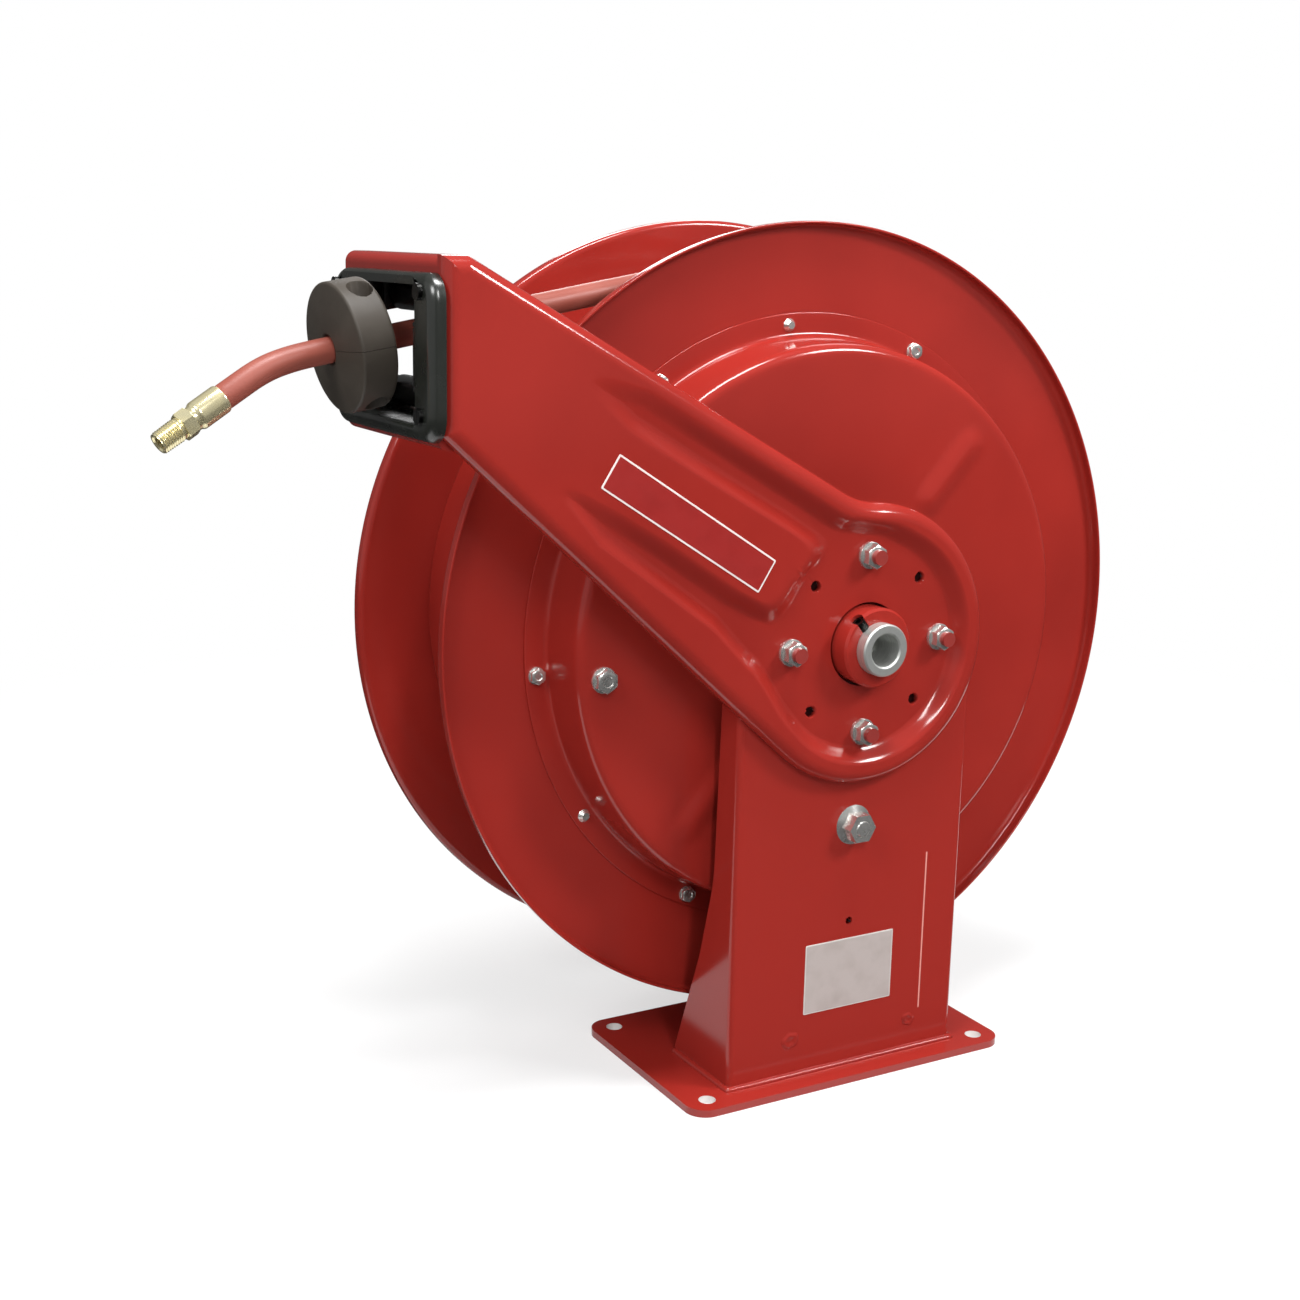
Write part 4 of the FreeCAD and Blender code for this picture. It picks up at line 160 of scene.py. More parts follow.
class Nodes:
    """One node tree. node() adds any node and hands back a Wire from it."""

    def __init__(self, tree):
        self.tree = tree

    def node(self, kind, settings=None, sockets=None, output=0):
        """Adds a node: its settings first, its ramp stops, and then its sockets."""
        made = self.tree.nodes.new(kind)
        for word, value in (settings or {}).items():
            if word == "stops":
                for stop, (place, colour) in zip(made.color_ramp.elements, value):
                    stop.position, stop.color = place, colour
            else:
                setattr(made, word, value)
        for word, value in (sockets or {}).items():
            if isinstance(value, Wire):
                self.tree.links.new(value.socket, made.inputs[word])
            else:
                made.inputs[word].default_value = value
        return Wire(self, made.outputs[output])

    def direct_view(self):
        """1 for what the camera, a mirror or glass sees, and 0 for the light itself."""
        ray = self.node("ShaderNodeLightPath", output="Is Camera Ray")
        ray_or_mirror = ray.math("MAXIMUM", ray, ray.beside("Is Glossy Ray"))
        return ray.math("MAXIMUM", ray_or_mirror, ray.beside("Is Transmission Ray"))


class Finish(Nodes):
    """One material. Constants are set on the shader's own sockets, and wires feed the rest."""

    def __init__(self, name, **constants):
        self.material = bpy.data.materials.new(name)
        self.material.use_nodes = True
        super().__init__(self.material.node_tree)
        self.shader = self.tree.nodes["Principled BSDF"]
        for word, value in constants.items():
            self.shader.inputs[word.replace("_", " ")].default_value = value

    def feed(self, word, wire):
        self.tree.links.new(wire.socket, self.shader.inputs[word])

    def place(self):
        """Where a point lies on the object, in metres."""
        return self.node("ShaderNodeTexCoord", output="Object")

    def axes(self):
        """The x, y and z of the place, in metres."""
        x = self.node("ShaderNodeSeparateXYZ", {}, {"Vector": self.place()}, "X")
        return x, x.beside("Y"), x.beside("Z")

    def noise(self, scale, detail=2.0, stretch=None):
        """Soft random pattern from 0 to 1, scale patches a metre; stretch thins it along the axes."""
        place = self.place()
        if stretch:
            place = self.node("ShaderNodeMapping", {}, {"Vector": place, "Scale": stretch})
        return self.node("ShaderNodeTexNoise", {}, {"Vector": place, "Scale": scale, "Detail": detail})

    def ramp(self, wire, low, high):
        """0 below low, 1 above high, and straight between them."""
        return self.node("ShaderNodeMapRange", {"clamp": True}, {0: wire, 1: low, 2: high})

    def mix(self, share, first, second):
        """Blend of two colours (sockets 6 and 7): first where share is 0, second where it is 1."""
        return self.node("ShaderNodeMix", {"data_type": "RGBA"}, {0: share, 6: first, 7: second}, output=2)

    def dress(self, share, first, second, rough, height, depth, strength):
        """Colour from first to second by share, roughness, and relief of depth metres by height."""
        self.colour = self.mix(share, first, second)
        self.feed("Base Color", self.colour)
        self.feed("Roughness", rough)
        if depth:
            self.feed("Normal", self.node("ShaderNodeBump", {}, {
                "Height": height, "Distance": depth, "Strength": strength}))
        return self


print("shader helpers ready")

# %% [markdown]
# ## Red powder coat
# The sheet metal is sprayed with red powder and baked. Such paint is smooth and glossy, with a very
# fine orange peel: waves a few millimetres wide and a few thousandths deep. The colour is nearly
# even, a shade deeper where the powder lies thick. A clear coat over a dull base would look like
# car paint, so the gloss is the base's own, and noise moves the colour, the gloss and the relief.

# %% Red paint
RED, DEEP_RED = (0.325, 0.0230, 0.0165, 1), (0.270, 0.0185, 0.0135, 1)
RED_PATCHES, GLOSS_PATCHES, PEEL_WAVES, PEEL_DEPTH = 9.0, 60.0, 420.0, 0.00010


def powder_coat(name):
    """Glossy red: colour wanders between two reds, roughness about 0.13, and a fine orange peel."""
    made = Finish(name, Specular_IOR_Level=0.5)
    thick = made.ramp(made.noise(RED_PATCHES), 0.35, 0.75)
    rough = 0.10 + 0.07 * made.noise(GLOSS_PATCHES)
    return made.dress(thick, RED, DEEP_RED, rough, made.noise(PEEL_WAVES, 3.0), PEEL_DEPTH, 0.25)


paint = powder_coat("red_paint")
print("red paint done")

# %% [markdown]
# ## Metals
# Zinc plate is bright and slightly mottled, turned steel shows fine rings, and brass is yellow and
# polished. One function makes them all: a metal's colour comes from its reflection, and small
# changes of roughness make it look worked. A fully metallic shader turns black where it mirrors
# the dark room, so the plated ones are a little less than fully metallic.

# %% Metals
def metal(name, light, dark, rough, grain, stretch=None, relief=0.00006, solid=1.0):
    """Metal whose colour and roughness wander between two values on the same soft pattern."""
    made = Finish(name, Metallic=solid)
    spots = made.noise(grain, 4.0, stretch)
    varied = made.ramp(spots, 0.2, 0.8) * (0.5 * rough) + 0.75 * rough
    return made.dress(made.ramp(spots, 0.3, 0.7), light, dark, varied, spots, relief, 0.4)


zinc = metal("zinc", (0.86, 0.85, 0.82, 1), (0.66, 0.65, 0.62, 1), 0.24, 240.0,
             relief=0.00002, solid=0.84)
steel = metal("shaft_steel", (0.74, 0.75, 0.72, 1), (0.55, 0.56, 0.54, 1), 0.42, 90.0,
              stretch=(1, 14, 1), relief=0.00003, solid=0.8)
brass = metal("brass", (0.95, 0.87, 0.56, 1), (0.88, 0.78, 0.46, 1), 0.20, 120.0,
              relief=0.0, solid=0.80)
bronze = metal("bronze", (0.55, 0.36, 0.18, 1), (0.40, 0.25, 0.12, 1), 0.35, 200.0)
blued = metal("spring_steel", (0.20, 0.20, 0.23, 1), (0.11, 0.11, 0.13, 1), 0.30, 120.0)
blacked = metal("black_screw", (0.060, 0.060, 0.058, 1), (0.030, 0.030, 0.029, 1), 0.28, 240.0)
print("metals done")

# %% [markdown]
# ## Plastic and rubber
# The roller frame is glass filled nylon: black, with a faint grain and a shine. The hose cover and
# the stop are rubber. Rubber scatters light and shows hardly any reflection, so it is rough, and a
# low bump breaks up what shine is left. Sheen could stand for its dust, but scuffs that are a
# little paler look more like rubber that has been handled.

# %% Plastic and rubber
def moulded(name, colour, worn, rough, grain, depth, shine=0.4):
    """Plastic or rubber: even colour with faint paler scuffs, and a fine grain."""
    made = Finish(name, Specular_IOR_Level=shine)
    scuffs = made.ramp(made.noise(35.0, 5.0), 0.45, 0.8)
    varied = rough + 0.15 * made.noise(80.0, 3.0)
    return made.dress(scuffs, colour, worn, varied, made.noise(grain), depth, 0.5)


nylon = moulded("guide_plastic", (0.012, 0.014, 0.011, 1), (0.020, 0.021, 0.018, 1), 0.18, 900.0,
                0.000008, shine=0.9)
roller = moulded("roller_plastic", (0.013, 0.013, 0.012, 1), (0.024, 0.023, 0.022, 1), 0.14, 700.0,
                 0.000008, shine=0.8)
stopper = moulded("stop_rubber", (0.048, 0.039, 0.030, 1), (0.066, 0.055, 0.043, 1), 0.46, 600.0,
                  0.00008)
nitrile = moulded("seal_rubber", (0.008, 0.008, 0.008, 1), (0.015, 0.015, 0.015, 1), 0.45, 500.0,
                  0.00005)
cover = moulded("hose_rubber", (0.27, 0.066, 0.046, 1), (0.32, 0.092, 0.068, 1), 0.36, 500.0,
                0.00006)
print("plastic and rubber done")

# %% [markdown]
# ## Paint with a mask
# On three parts the paint isn't the same all over: the base's bolt holes are painted pale inside,
# as painted light from the floor beyond them, the post has a thin painted highlight line, and the
# studs' ends carry some paint. Their meshes could be cut there for a second material slot. But the
# CAD model stays as it is, so a mask worked out from the place on the object blends two colours,
# and it is 1 only where the second one shows.

# %% Masked paint
HOLE_X, HOLE_Y, HOLE_WALL = 0.108, 0.062, 0.0055
HIGHLIGHT_LINE_X, HIGHLIGHT_LINE_Z, HIGHLIGHT_LINE_HALF = 0.0616, 0.0885, 0.0550
NUT_FACE = -0.0700


def masked(name, base, second, rough, mask):
    """A finish whose colour turns from base to second where the mask, read from the place, is 1."""
    made = Finish(name, Specular_IOR_Level=0.5)
    varied = rough + 0.07 * made.noise(55.0, 3.0)
    return made.dress(mask(made), base, second, varied, made.noise(140.0, 3.0), 0.00008, 0.25)


def painted_hole_light(made):
    """1 inside the four floor bolt holes, up to a little more than their radius from their axes: the pale
    colour there is painted light.
    """
    x, y, _ = made.axes()
    across, along = x.size() - HOLE_X, y.size() - HOLE_Y
    apart = across * across + along * along
    return made.ramp(apart, HOLE_WALL ** 2 * 1.02, HOLE_WALL ** 2 * 1.01)


def painted_highlight_line(made):
    """1 on a thin upright line on the post's face, where a highlight is painted."""
    x, _, z = made.axes()
    beside, above = (x - HIGHLIGHT_LINE_X).size(), (z - HIGHLIGHT_LINE_Z).size()
    return made.ramp(beside, 0.0007, 0.0004) * made.ramp(above, HIGHLIGHT_LINE_HALF + 0.0010, HIGHLIGHT_LINE_HALF)


def stud_ends(made):
    """1 in front of the nuts, where the stud's end is painted with the rest."""
    return made.ramp(made.axes()[1], NUT_FACE, NUT_FACE - 0.0008)


# The base's pale second colour is painted light: the bright floor seen through its bolt holes.
base_paint = masked("red_paint_base", RED, (0.80, 0.76, 0.74, 1), 0.12, painted_hole_light)
# The post's pale second colour is a painted highlight along that line.
post_paint = masked("red_paint_post", RED, (0.72, 0.30, 0.26, 1), 0.12, painted_highlight_line)
stud_finish = masked("zinc_and_paint", (0.5, 0.5, 0.48, 1), (0.26, 0.03, 0.025, 1), 0.25, stud_ends)
print("masked paint done")

# %% [markdown]
# ## Finishes for the measured model
# Every part of the CAD model names the finish that it is made in. Each gets it here, also the parts
# that stay hidden, and six parts get one that fits them better. The materials are swapped in the
# objects' slots, because the meshes themselves are never changed.

# %% Finishes for the model
FINISHES = {made.material.name: made for made in (
    paint, zinc, steel, brass, bronze, blued, nylon, roller, stopper, nitrile, cover)}
BETTER = {"frame_screws": blacked, "stop_screws": blacked, "shaft_screw": blacked,
          "base_plate": base_paint, "post": post_paint, "hub_studs": stud_finish}
SLOT_OF = {part["node"]: part["material_slot"] for part in frame["record"]["subparts"]}
for name, made in frame["nodes"].items():
    made.data.materials.clear()
    made.data.materials.append(BETTER.get(name, FINISHES[SLOT_OF[name]]).material)
print(len(SLOT_OF), "nodes have their finish")

# %% [markdown]
# ## From a grid of points to a mesh
# Nearly every piece below is a surface on a grid: rows of points along one direction, columns along
# the other. Where the grid closes on itself, its last column joins the first. Blender's own tools,
# such as Screw and Bevel, could make many of these shapes, but a grid of numbers lets one formula
# decide every point. The enclosed volume tells whether the faces look outwards, and the faces are
# turned round if it comes out negative.

# %% Grid surfaces
def grid_faces(rows, columns, close_rows, close_columns):
    """Four corner numbers for every cell of a grid of rows by columns."""
    down = np.arange(rows if close_rows else rows - 1)
    across = np.arange(columns if close_columns else columns - 1)
    r, c = np.meshgrid(down, across, indexing="ij")
    r2, c2 = (r + 1) % rows, (c + 1) % columns
    corners = (r * columns + c, r * columns + c2, r2 * columns + c2, r2 * columns + c)
    return np.stack(corners, -1).reshape(-1, 4)


def outward(points, faces):
    """The faces, turned round if the sum over triangles of a . (b x c), six times the enclosed
    volume, is negative."""
    centred = points - points.mean(0)
    a, b, c, d = (centred[faces[:, k]] for k in range(4))
    volume = np.einsum("ij,ij->", a, np.cross(b, c)) + np.einsum("ij,ij->", a, np.cross(c, d))
    return faces[:, ::-1] if volume < 0 else faces


def mesh_piece(name, points, faces, finish, crease=40.0):
    """Mesh from numpy points and four-cornered faces, smooth except at edges sharper than crease."""
    points = np.asarray(points, float).reshape(-1, 3)
    faces = outward(points, faces)
    mesh = bpy.data.meshes.new(name)
    mesh.vertices.add(len(points))
    mesh.vertices.foreach_set("co", points.ravel())
    mesh.loops.add(faces.size)
    mesh.loops.foreach_set("vertex_index", faces.ravel().astype(np.int32))
    mesh.polygons.add(len(faces))
    mesh.polygons.foreach_set("loop_start", np.arange(0, faces.size, 4, dtype=np.int32))
    mesh.update(calc_edges=True)
    mesh.validate()
    merged = bmesh.new()
    merged.from_mesh(mesh)
    bmesh.ops.remove_doubles(merged, verts=merged.verts, dist=1e-7)
    merged.to_mesh(mesh)
    merged.free()
    mesh.shade_smooth()
    mesh.set_sharp_from_angle(angle=math.radians(crease))
    mesh.materials.append(finish.material)
    print(name, len(points), "points,", len(faces), "faces")
    return put(name, mesh)


def finished(made, body, slot, *nodes):
    """The piece rides on a body and stands for the nodes it replaces, which are hidden; slot is not used."""
    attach(made, body)
    if nodes:
        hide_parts(*nodes)
    return made


# %% [markdown]
# ## Turned and pressed round pieces
# Discs, drum core and spring case are bodies of revolution. A Screw modifier could turn them from a
# line, but not press a rib into the case. So their profile is a closed line of (place along the
# axle, radius) corners, each softened by a small arc, as a press tool leaves it. The line is
# carried round the axle as one grid, whose points can still be moved by a formula.

# %% Lathe
AXLE_HEIGHT = 0.2925
MM = 0.001


def soften(corners, radius, steps=4):
    """Closed polyline whose corners become parabolic arcs: (1-t)^2 a + 2t(1-t) corner + t^2 b."""
    corners = np.asarray(corners, float)
    before, after = np.roll(corners, 1, 0) - corners, np.roll(corners, -1, 0) - corners
    reach_before = np.linalg.norm(before, axis=1, keepdims=True)
    reach_after = np.linalg.norm(after, axis=1, keepdims=True)
    radius = np.asarray(radius, float).reshape(-1, 1) * np.ones_like(reach_before)
    a = corners + before / reach_before * np.minimum(radius, 0.45 * reach_before)
    b = corners + after / reach_after * np.minimum(radius, 0.45 * reach_after)
    t = np.linspace(0, 1, steps)[None, :, None]
    arcs = (1 - t) ** 2 * a[:, None] + 2 * t * (1 - t) * corners[:, None] + t ** 2 * b[:, None]
    return arcs.reshape(-1, 2)


def subdivided(profile, longest):
    """Adds points to the runs of a closed polyline that are longer than longest."""
    step = np.roll(profile, -1, 0) - profile
    counts = np.maximum(1, np.ceil(np.linalg.norm(step, axis=1) / longest).astype(int))
    index = np.repeat(np.arange(len(profile)), counts)
    first = np.repeat(np.cumsum(counts) - counts, counts)
    share = (np.arange(counts.sum()) - first) / counts[index]
    return profile[index] + share[:, None] * step[index]


def lathe(name, profile, finish, columns, shift=None):
    """Point = (r cos a, y, r sin a + axle height) for every profile point (y, r) and angle a.

    shift(x, z, y) moves the points of a pressed feature along the axle, all in millimetres."""
    turn = np.linspace(0, 2 * np.pi, columns, endpoint=False)
    r = profile[:, 1:]
    x, z = r * np.cos(turn), r * np.sin(turn)
    y = profile[:, :1] + np.zeros_like(x)
    if shift is not None:
        y = y + shift(x, z, y)
    points = np.stack((x * MM, y * MM, z * MM + AXLE_HEIGHT), -1)
    return mesh_piece(name, points, grid_faces(len(profile), columns, True, True), finish)


print("lathe ready")

# %% [markdown]
# ## The two discs
# Each disc is a sheet 1.6 mm thick. Its rim is bent over into a lip, away from the hose, which
# stiffens it and leaves no sharp edge for the hose to rub on. Solidify could thicken a bent sheet,
# but the two sides of the bend have different radii. So the profile follows the sheet out along
# one face, over the outside of the lip, round its edge, and back along the other face.

# %% Discs
SHEET, LIP_DEPTH, DISC_RADIUS, LONGEST_RUN = 1.6, 9.0, 260.0, 24.0
DISC_FRONT, CORE_FRONT, CORE_REAR, FRONT_EYE, REAR_EYE = 13.5, 15.1, 143.4, 45.0, 27.3
LIP_ROUNDING = (0.3, 4.6, 0.7, 0.7, 3.4, 0.3)


def disc_profile(outer_face, inner_face, eye):
    """Sheet from the eye to the rim, and there a lip bent away from the hose, LIP_DEPTH deep."""
    tip = inner_face - np.sign(inner_face - outer_face) * LIP_DEPTH
    corners = ((inner_face, eye), (inner_face, DISC_RADIUS), (tip, DISC_RADIUS),
               (tip, DISC_RADIUS - SHEET), (outer_face, DISC_RADIUS - SHEET), (outer_face, eye))
    return subdivided(soften(corners, LIP_ROUNDING, 9), LONGEST_RUN)


for name, faces_at in (("front_disc", (DISC_FRONT, CORE_FRONT, FRONT_EYE)),
                       ("rear_disc", (CORE_REAR + SHEET, CORE_REAR, REAR_EYE))):
    disc = lathe(name + "_sheet", disc_profile(*faces_at), paint, 360)
    finished(disc, "drum", "red_paint", name)

# %% [markdown]
# ## Drum core
# Between the discs sits a sheet ring with a flange turned inwards at each end, which the bolts
# clamp to the discs. The hose hides most of it. A plain tube would do there, but the flanges show
# between the turns, and on the lathe they cost only a few more corners.

# %% Drum core
CORE_RADIUS, CORE_FLANGE = 211.0, 187.0
core = soften([
    (CORE_FRONT, CORE_FLANGE), (CORE_FRONT, CORE_RADIUS),
    (CORE_REAR, CORE_RADIUS), (CORE_REAR, CORE_FLANGE),
    (CORE_REAR - SHEET, CORE_FLANGE), (CORE_REAR - SHEET, CORE_RADIUS - SHEET),
    (CORE_FRONT + SHEET, CORE_RADIUS - SHEET), (CORE_FRONT + SHEET, CORE_FLANGE)], 1.4)
core_ring = lathe("drum_core_ring", subdivided(core, LONGEST_RUN), paint, 240)
finished(core_ring, "drum", "red_paint", "drum_core")

# %% [markdown]
# ## Spring case
# The power spring turns inside a deep drawn cover on the front disc: a bolted flange, a steep wall,
# and a flat front with two pressed ribs that keep it from drumming. A rib could be a bump, but from
# the side a bump stays flat, and the rib's edge catches the light. So the lathe's points are moved:
# a rib is a stadium shape, and its height falls off smoothly from its middle line.

# %% Spring case
CASE_FRONT, CASE_FLANGE, CASE_FOOT, CASE_TOP = -24.5, 203.0, 188.0, 184.5
CASE_ROUNDING, CASE_LONGEST_RUN = (0.3, 0.6, 0.6, 3.5, 6.5, 0.5, 0.5, 5.0), 2.9
RIB_INNER, RIB_OUTER, RIB_TURN, RIB_REACH, RIB_RISE = 112.0, 158.0, 48.0, 14.0, 2.0


def smooth(t):
    """3 t^2 - 2 t^3, from 0 to 1, with t held between 0 and 1."""
    t = np.clip(t, 0, 1)
    return t * t * (3 - 2 * t)


def ribs(x, z, y):
    """Rise of the two ribs: RIB_RISE smooth(1 - distance to the middle line / RIB_REACH)."""
    heading = np.radians(RIB_TURN)
    along = np.abs(x * np.cos(heading) + z * np.sin(heading))
    across = z * np.cos(heading) - x * np.sin(heading)
    beyond = along - np.clip(along, RIB_INNER, RIB_OUTER)
    distance = np.hypot(beyond, across)
    return -RIB_RISE * smooth((RIB_REACH - distance) / RIB_REACH) * (y < CASE_FRONT + 2 * SHEET)


case = soften([
    (DISC_FRONT, CASE_FOOT - SHEET), (DISC_FRONT, CASE_FLANGE), (DISC_FRONT - SHEET, CASE_FLANGE),
    (DISC_FRONT - SHEET, CASE_FOOT), (CASE_FRONT, CASE_TOP), (CASE_FRONT, REAR_EYE),
    (CASE_FRONT + SHEET, REAR_EYE), (CASE_FRONT + SHEET, CASE_TOP - SHEET)], CASE_ROUNDING, 7)
spring_case = lathe("spring_case_cover", subdivided(case, CASE_LONGEST_RUN), paint, 480, ribs)
finished(spring_case, "drum", "red_paint", "spring_case")

# %% [markdown]
# ## Guide arm
# The arm is one pressed sheet. Its outline is a round end about the shaft, two straight edges, a
# hollow corner between the end and the upper edge, and the edge where it folds to the rollers.
# It could be drawn as a curve and filled, but then the rim and the grooves would need cuts. Here
# the outline is a formula that also gives every line drawn inside it, which the face needs.

# %% Guide arm
ARM_END, ARM_TOP, ARM_REAR, ARM_FRONT, ARM_SHEET = -289.0, 236.5, -58.0, -70.0, 4.0
LOBE, UPPER_EDGE, UPPER_SLOPE, LOWER_SLOPE, NECK = 90.0, 74.3, 29.0, 42.2, 60.0
COLUMNS = (80, 36, 120, 30, 260, 130)


def run_points(start, end, count):
    """count points from start towards end, without the end."""
    t = np.linspace(0, 1, count, endpoint=False)[:, None]
    return start + (end - start) * t


def turn_points(centre, radius, start, end, count):
    """count points on a circle about centre, from angle start towards angle end, without the end."""
    t = np.linspace(start, end, count, endpoint=False)
    return centre + radius * np.stack((np.cos(t), np.sin(t)), -1)


def arm_outline(inset):
    """Outline of the arm about the shaft, drawn inset inside its edge, as (x, z) in mm."""
    upper, lower = np.radians(UPPER_SLOPE), np.radians(LOWER_SLOPE)
    lobe, edge, neck = LOBE - inset, UPPER_EDGE - inset, NECK + inset
    left, top = ARM_END + inset, ARM_TOP - inset
    upper_normal = np.array((np.sin(upper), np.cos(upper)))
    upper_run = np.array((np.cos(upper), -np.sin(upper)))
    lower_normal = np.array((-np.sin(lower), -np.cos(lower)))
    lower_run = np.array((np.cos(lower), -np.sin(lower)))
    slide = -np.sqrt((lobe + neck) ** 2 - (edge + neck) ** 2)
    hollow = upper_normal * (edge + neck) + upper_run * slide
    on_line = upper_normal * edge + upper_run * slide
    corner = on_line - upper_run * ((top - on_line[1]) / np.sin(upper))
    touch = lower_normal * lobe
    low_left = touch - lower_run * ((touch[0] - left) / np.cos(lower))
    neck_start = np.arctan2(*(on_line - hollow)[::-1])
    neck_end = np.arctan2(*(-hollow)[::-1])
    lobe_start = np.arctan2(hollow[1], hollow[0])
    lobe_end = np.arctan2(touch[1], touch[0])
    corner_left = np.array((left, top))
    return np.concatenate((
        run_points(low_left, corner_left, COLUMNS[0]),
        run_points(corner_left, corner, COLUMNS[1]),
        run_points(corner, on_line, COLUMNS[2]),
        turn_points(hollow, neck, neck_start, neck_end, COLUMNS[3]),
        turn_points(np.zeros(2), lobe, lobe_start, lobe_end, COLUMNS[4]),
        run_points(touch, low_left, COLUMNS[5])))


outline = arm_outline(0.0)
print("arm outline spans", outline.min(0), outline.max(0))

# %% [markdown]
# ## The arm's pressed shape
# The floor round the shaft's boss is dished, and two long grooves run from it and fade out along
# the arm, which keeps the thin sheet from bending. Sculpting could give that, but not twice the
# same. So the depth is a formula: the distance to the dish and to two bent middle lines decides how
# deep a point lies, and where two distances meet, the corner between them is rounded.

# %% Depth of the pressing
DISH_EDGE, PRESSING, SLOPE, VALLEY_JOIN = 71.5, 8.0, 12.0, 18.0
ARM_TURN, VALLEY_TIP, HUB_END = 35.6, 262.0, 75.0
UPPER_VALLEY = ((-204.6, 170.2, 0.0), (-170.0, 151.0, 8.0), (-60.3, 89.4, 8.5),
                (-27.2, 69.5, 9.0), (2.0, 56.0, 12.0))
LOWER_VALLEY = ((-212.0, 104.0, 0.0), (-188.3, 84.8, 6.0), (-150.6, 60.1, 7.7),
                (-109.7, 32.0, 9.0), (-80.5, 10.4, 15.0), (-50.0, -7.0, 23.0))
SMALL_HOLE, HOLE_PLACE, HOLE_DEPTH = 3.2, 40.0, 3.6


def valley(x, z, line):
    """Distance to a bent line, less its half width there: below 0 inside the valley."""
    reach = np.full(np.shape(x), 1e3)
    for (x0, z0, w0), (x1, z1, w1) in zip(line[:-1], line[1:]):
        run = np.array((x1 - x0, z1 - z0))
        t = np.clip(((x - x0) * run[0] + (z - z0) * run[1]) / (run @ run), 0, 1)
        reach = np.minimum(reach, np.hypot(x - x0 - t * run[0], z - z0 - t * run[1]) - w0 - (w1 - w0) * t)
    return reach


def joined(a, b, width):
    """Smaller of two distances, with the corner between them rounded over width."""
    share = np.maximum(width - np.abs(a - b), 0) / width
    return np.minimum(a, b) - share ** 2 * width / 4


def arm_depth(x, z):
    """Depth of the pressing: it falls off along the arm as 1 - (1 - t)^2, and across as smooth()."""
    reach = joined(np.hypot(x, z) - DISH_EDGE, valley(x, z, UPPER_VALLEY), VALLEY_JOIN)
    reach = joined(reach, valley(x, z, LOWER_VALLEY), VALLEY_JOIN)
    turn = np.radians(ARM_TURN)
    away = z * np.sin(turn) - x * np.cos(turn)
    t = np.clip((VALLEY_TIP - away) / (VALLEY_TIP - HUB_END), 0, 1)
    return PRESSING * (1 - (1 - t) ** 2) * smooth((SLOPE / 2 - reach) / SLOPE)


def small_holes(x, z):
    """Depth of the four small holes in the dish, with walls about 1 mm wide."""
    distance = np.hypot(np.abs(x) - HOLE_PLACE, np.abs(z) - HOLE_PLACE)
    return HOLE_DEPTH * smooth((SMALL_HOLE + 0.5 - distance) / 1.0)


print("deepest point of the pressing", arm_depth(-50.0, 30.0))

# %% [markdown]
# ## The arm's surface
# One closed grid makes the whole sheet. It runs from the boss hole out over the face, round the
# rounded rim to the rear edge, and back under the sheet to the hole. A Solidify modifier would
# make the inside too, but its wall would grow thin in the grooves. Here the inside has its own
# rows, fewer of them, since nobody looks there.

# %% Arm surface
BOSS_HOLE, INNER_ROWS, HUB_STEPS, LONG_STEPS = 27.0, 60.0, 36, 58
RIM, WALL_INSET, STRAIGHT_RIM = 9.0, 12.0, 1.5


def arm_rows():
    """Plan rows of the face: circles round the boss hole, then rows that turn into the outline."""
    turn = np.arctan2(outline[:, 1], outline[:, 0])
    circle = np.stack((np.cos(turn), np.sin(turn)), -1)
    rows = [radius * circle for radius in np.linspace(BOSS_HOLE, INNER_ROWS, HUB_STEPS)]
    for share in np.linspace(0, 1, LONG_STEPS + 1)[1:]:
        rows.append(INNER_ROWS * circle * (1 - share) + arm_outline(WALL_INSET) * share)
    return np.array(rows)


def quarter_bend(radius, degrees):
    """Insets and levels of a quarter circle, from the top of the bend (0) to its side (90)."""
    a = np.radians(degrees)
    return radius - radius * np.sin(a), radius - radius * np.cos(a)


front = arm_rows()
front_x, front_z = front[..., 0], front[..., 1]
front_y = ARM_FRONT + arm_depth(front_x, front_z) + small_holes(front_x, front_z)
bend_insets, bend_levels = quarter_bend(RIM, np.linspace(0, 90, 11))
insets = np.concatenate((np.linspace(WALL_INSET, RIM, 4)[1:-1], bend_insets, np.zeros(2)))
levels = np.concatenate((np.full(2, ARM_FRONT), ARM_FRONT + bend_levels,
                         (ARM_FRONT + RIM + STRAIGHT_RIM, ARM_REAR)))
rim = np.array([arm_outline(inset) for inset in insets])
# the depth of a groove that reaches the rim fades out over the flat strip beside the rounding
fade = smooth((insets - RIM + STRAIGHT_RIM) / 4.5)[:, None]
rim_y = levels[:, None] + arm_depth(rim[..., 0], rim[..., 1]) * fade
bend_insets, bend_levels = quarter_bend(RIM - ARM_SHEET, np.linspace(90, 0, 5))
insets = np.concatenate(((ARM_SHEET,), ARM_SHEET + bend_insets, (WALL_INSET,)))
levels = ARM_FRONT + ARM_SHEET + np.concatenate(((ARM_REAR - ARM_FRONT - ARM_SHEET,), bend_levels, (0,)))
inner_rim = np.array([arm_outline(inset) for inset in insets])
inner_rim_y = levels[:, None] + np.zeros(len(outline))
inner = front[::-5]
inner_y = np.minimum(ARM_FRONT + ARM_SHEET + arm_depth(inner[..., 0], inner[..., 1]), ARM_REAR)
plan = np.concatenate((front, rim, inner_rim, inner[1:]))
height = np.concatenate((front_y, rim_y, inner_rim_y, inner_y[1:]))
arm_points = np.stack((plan[..., 0], height, plan[..., 1] + AXLE_HEIGHT / MM), -1) * MM
print("arm grid", arm_points.shape)
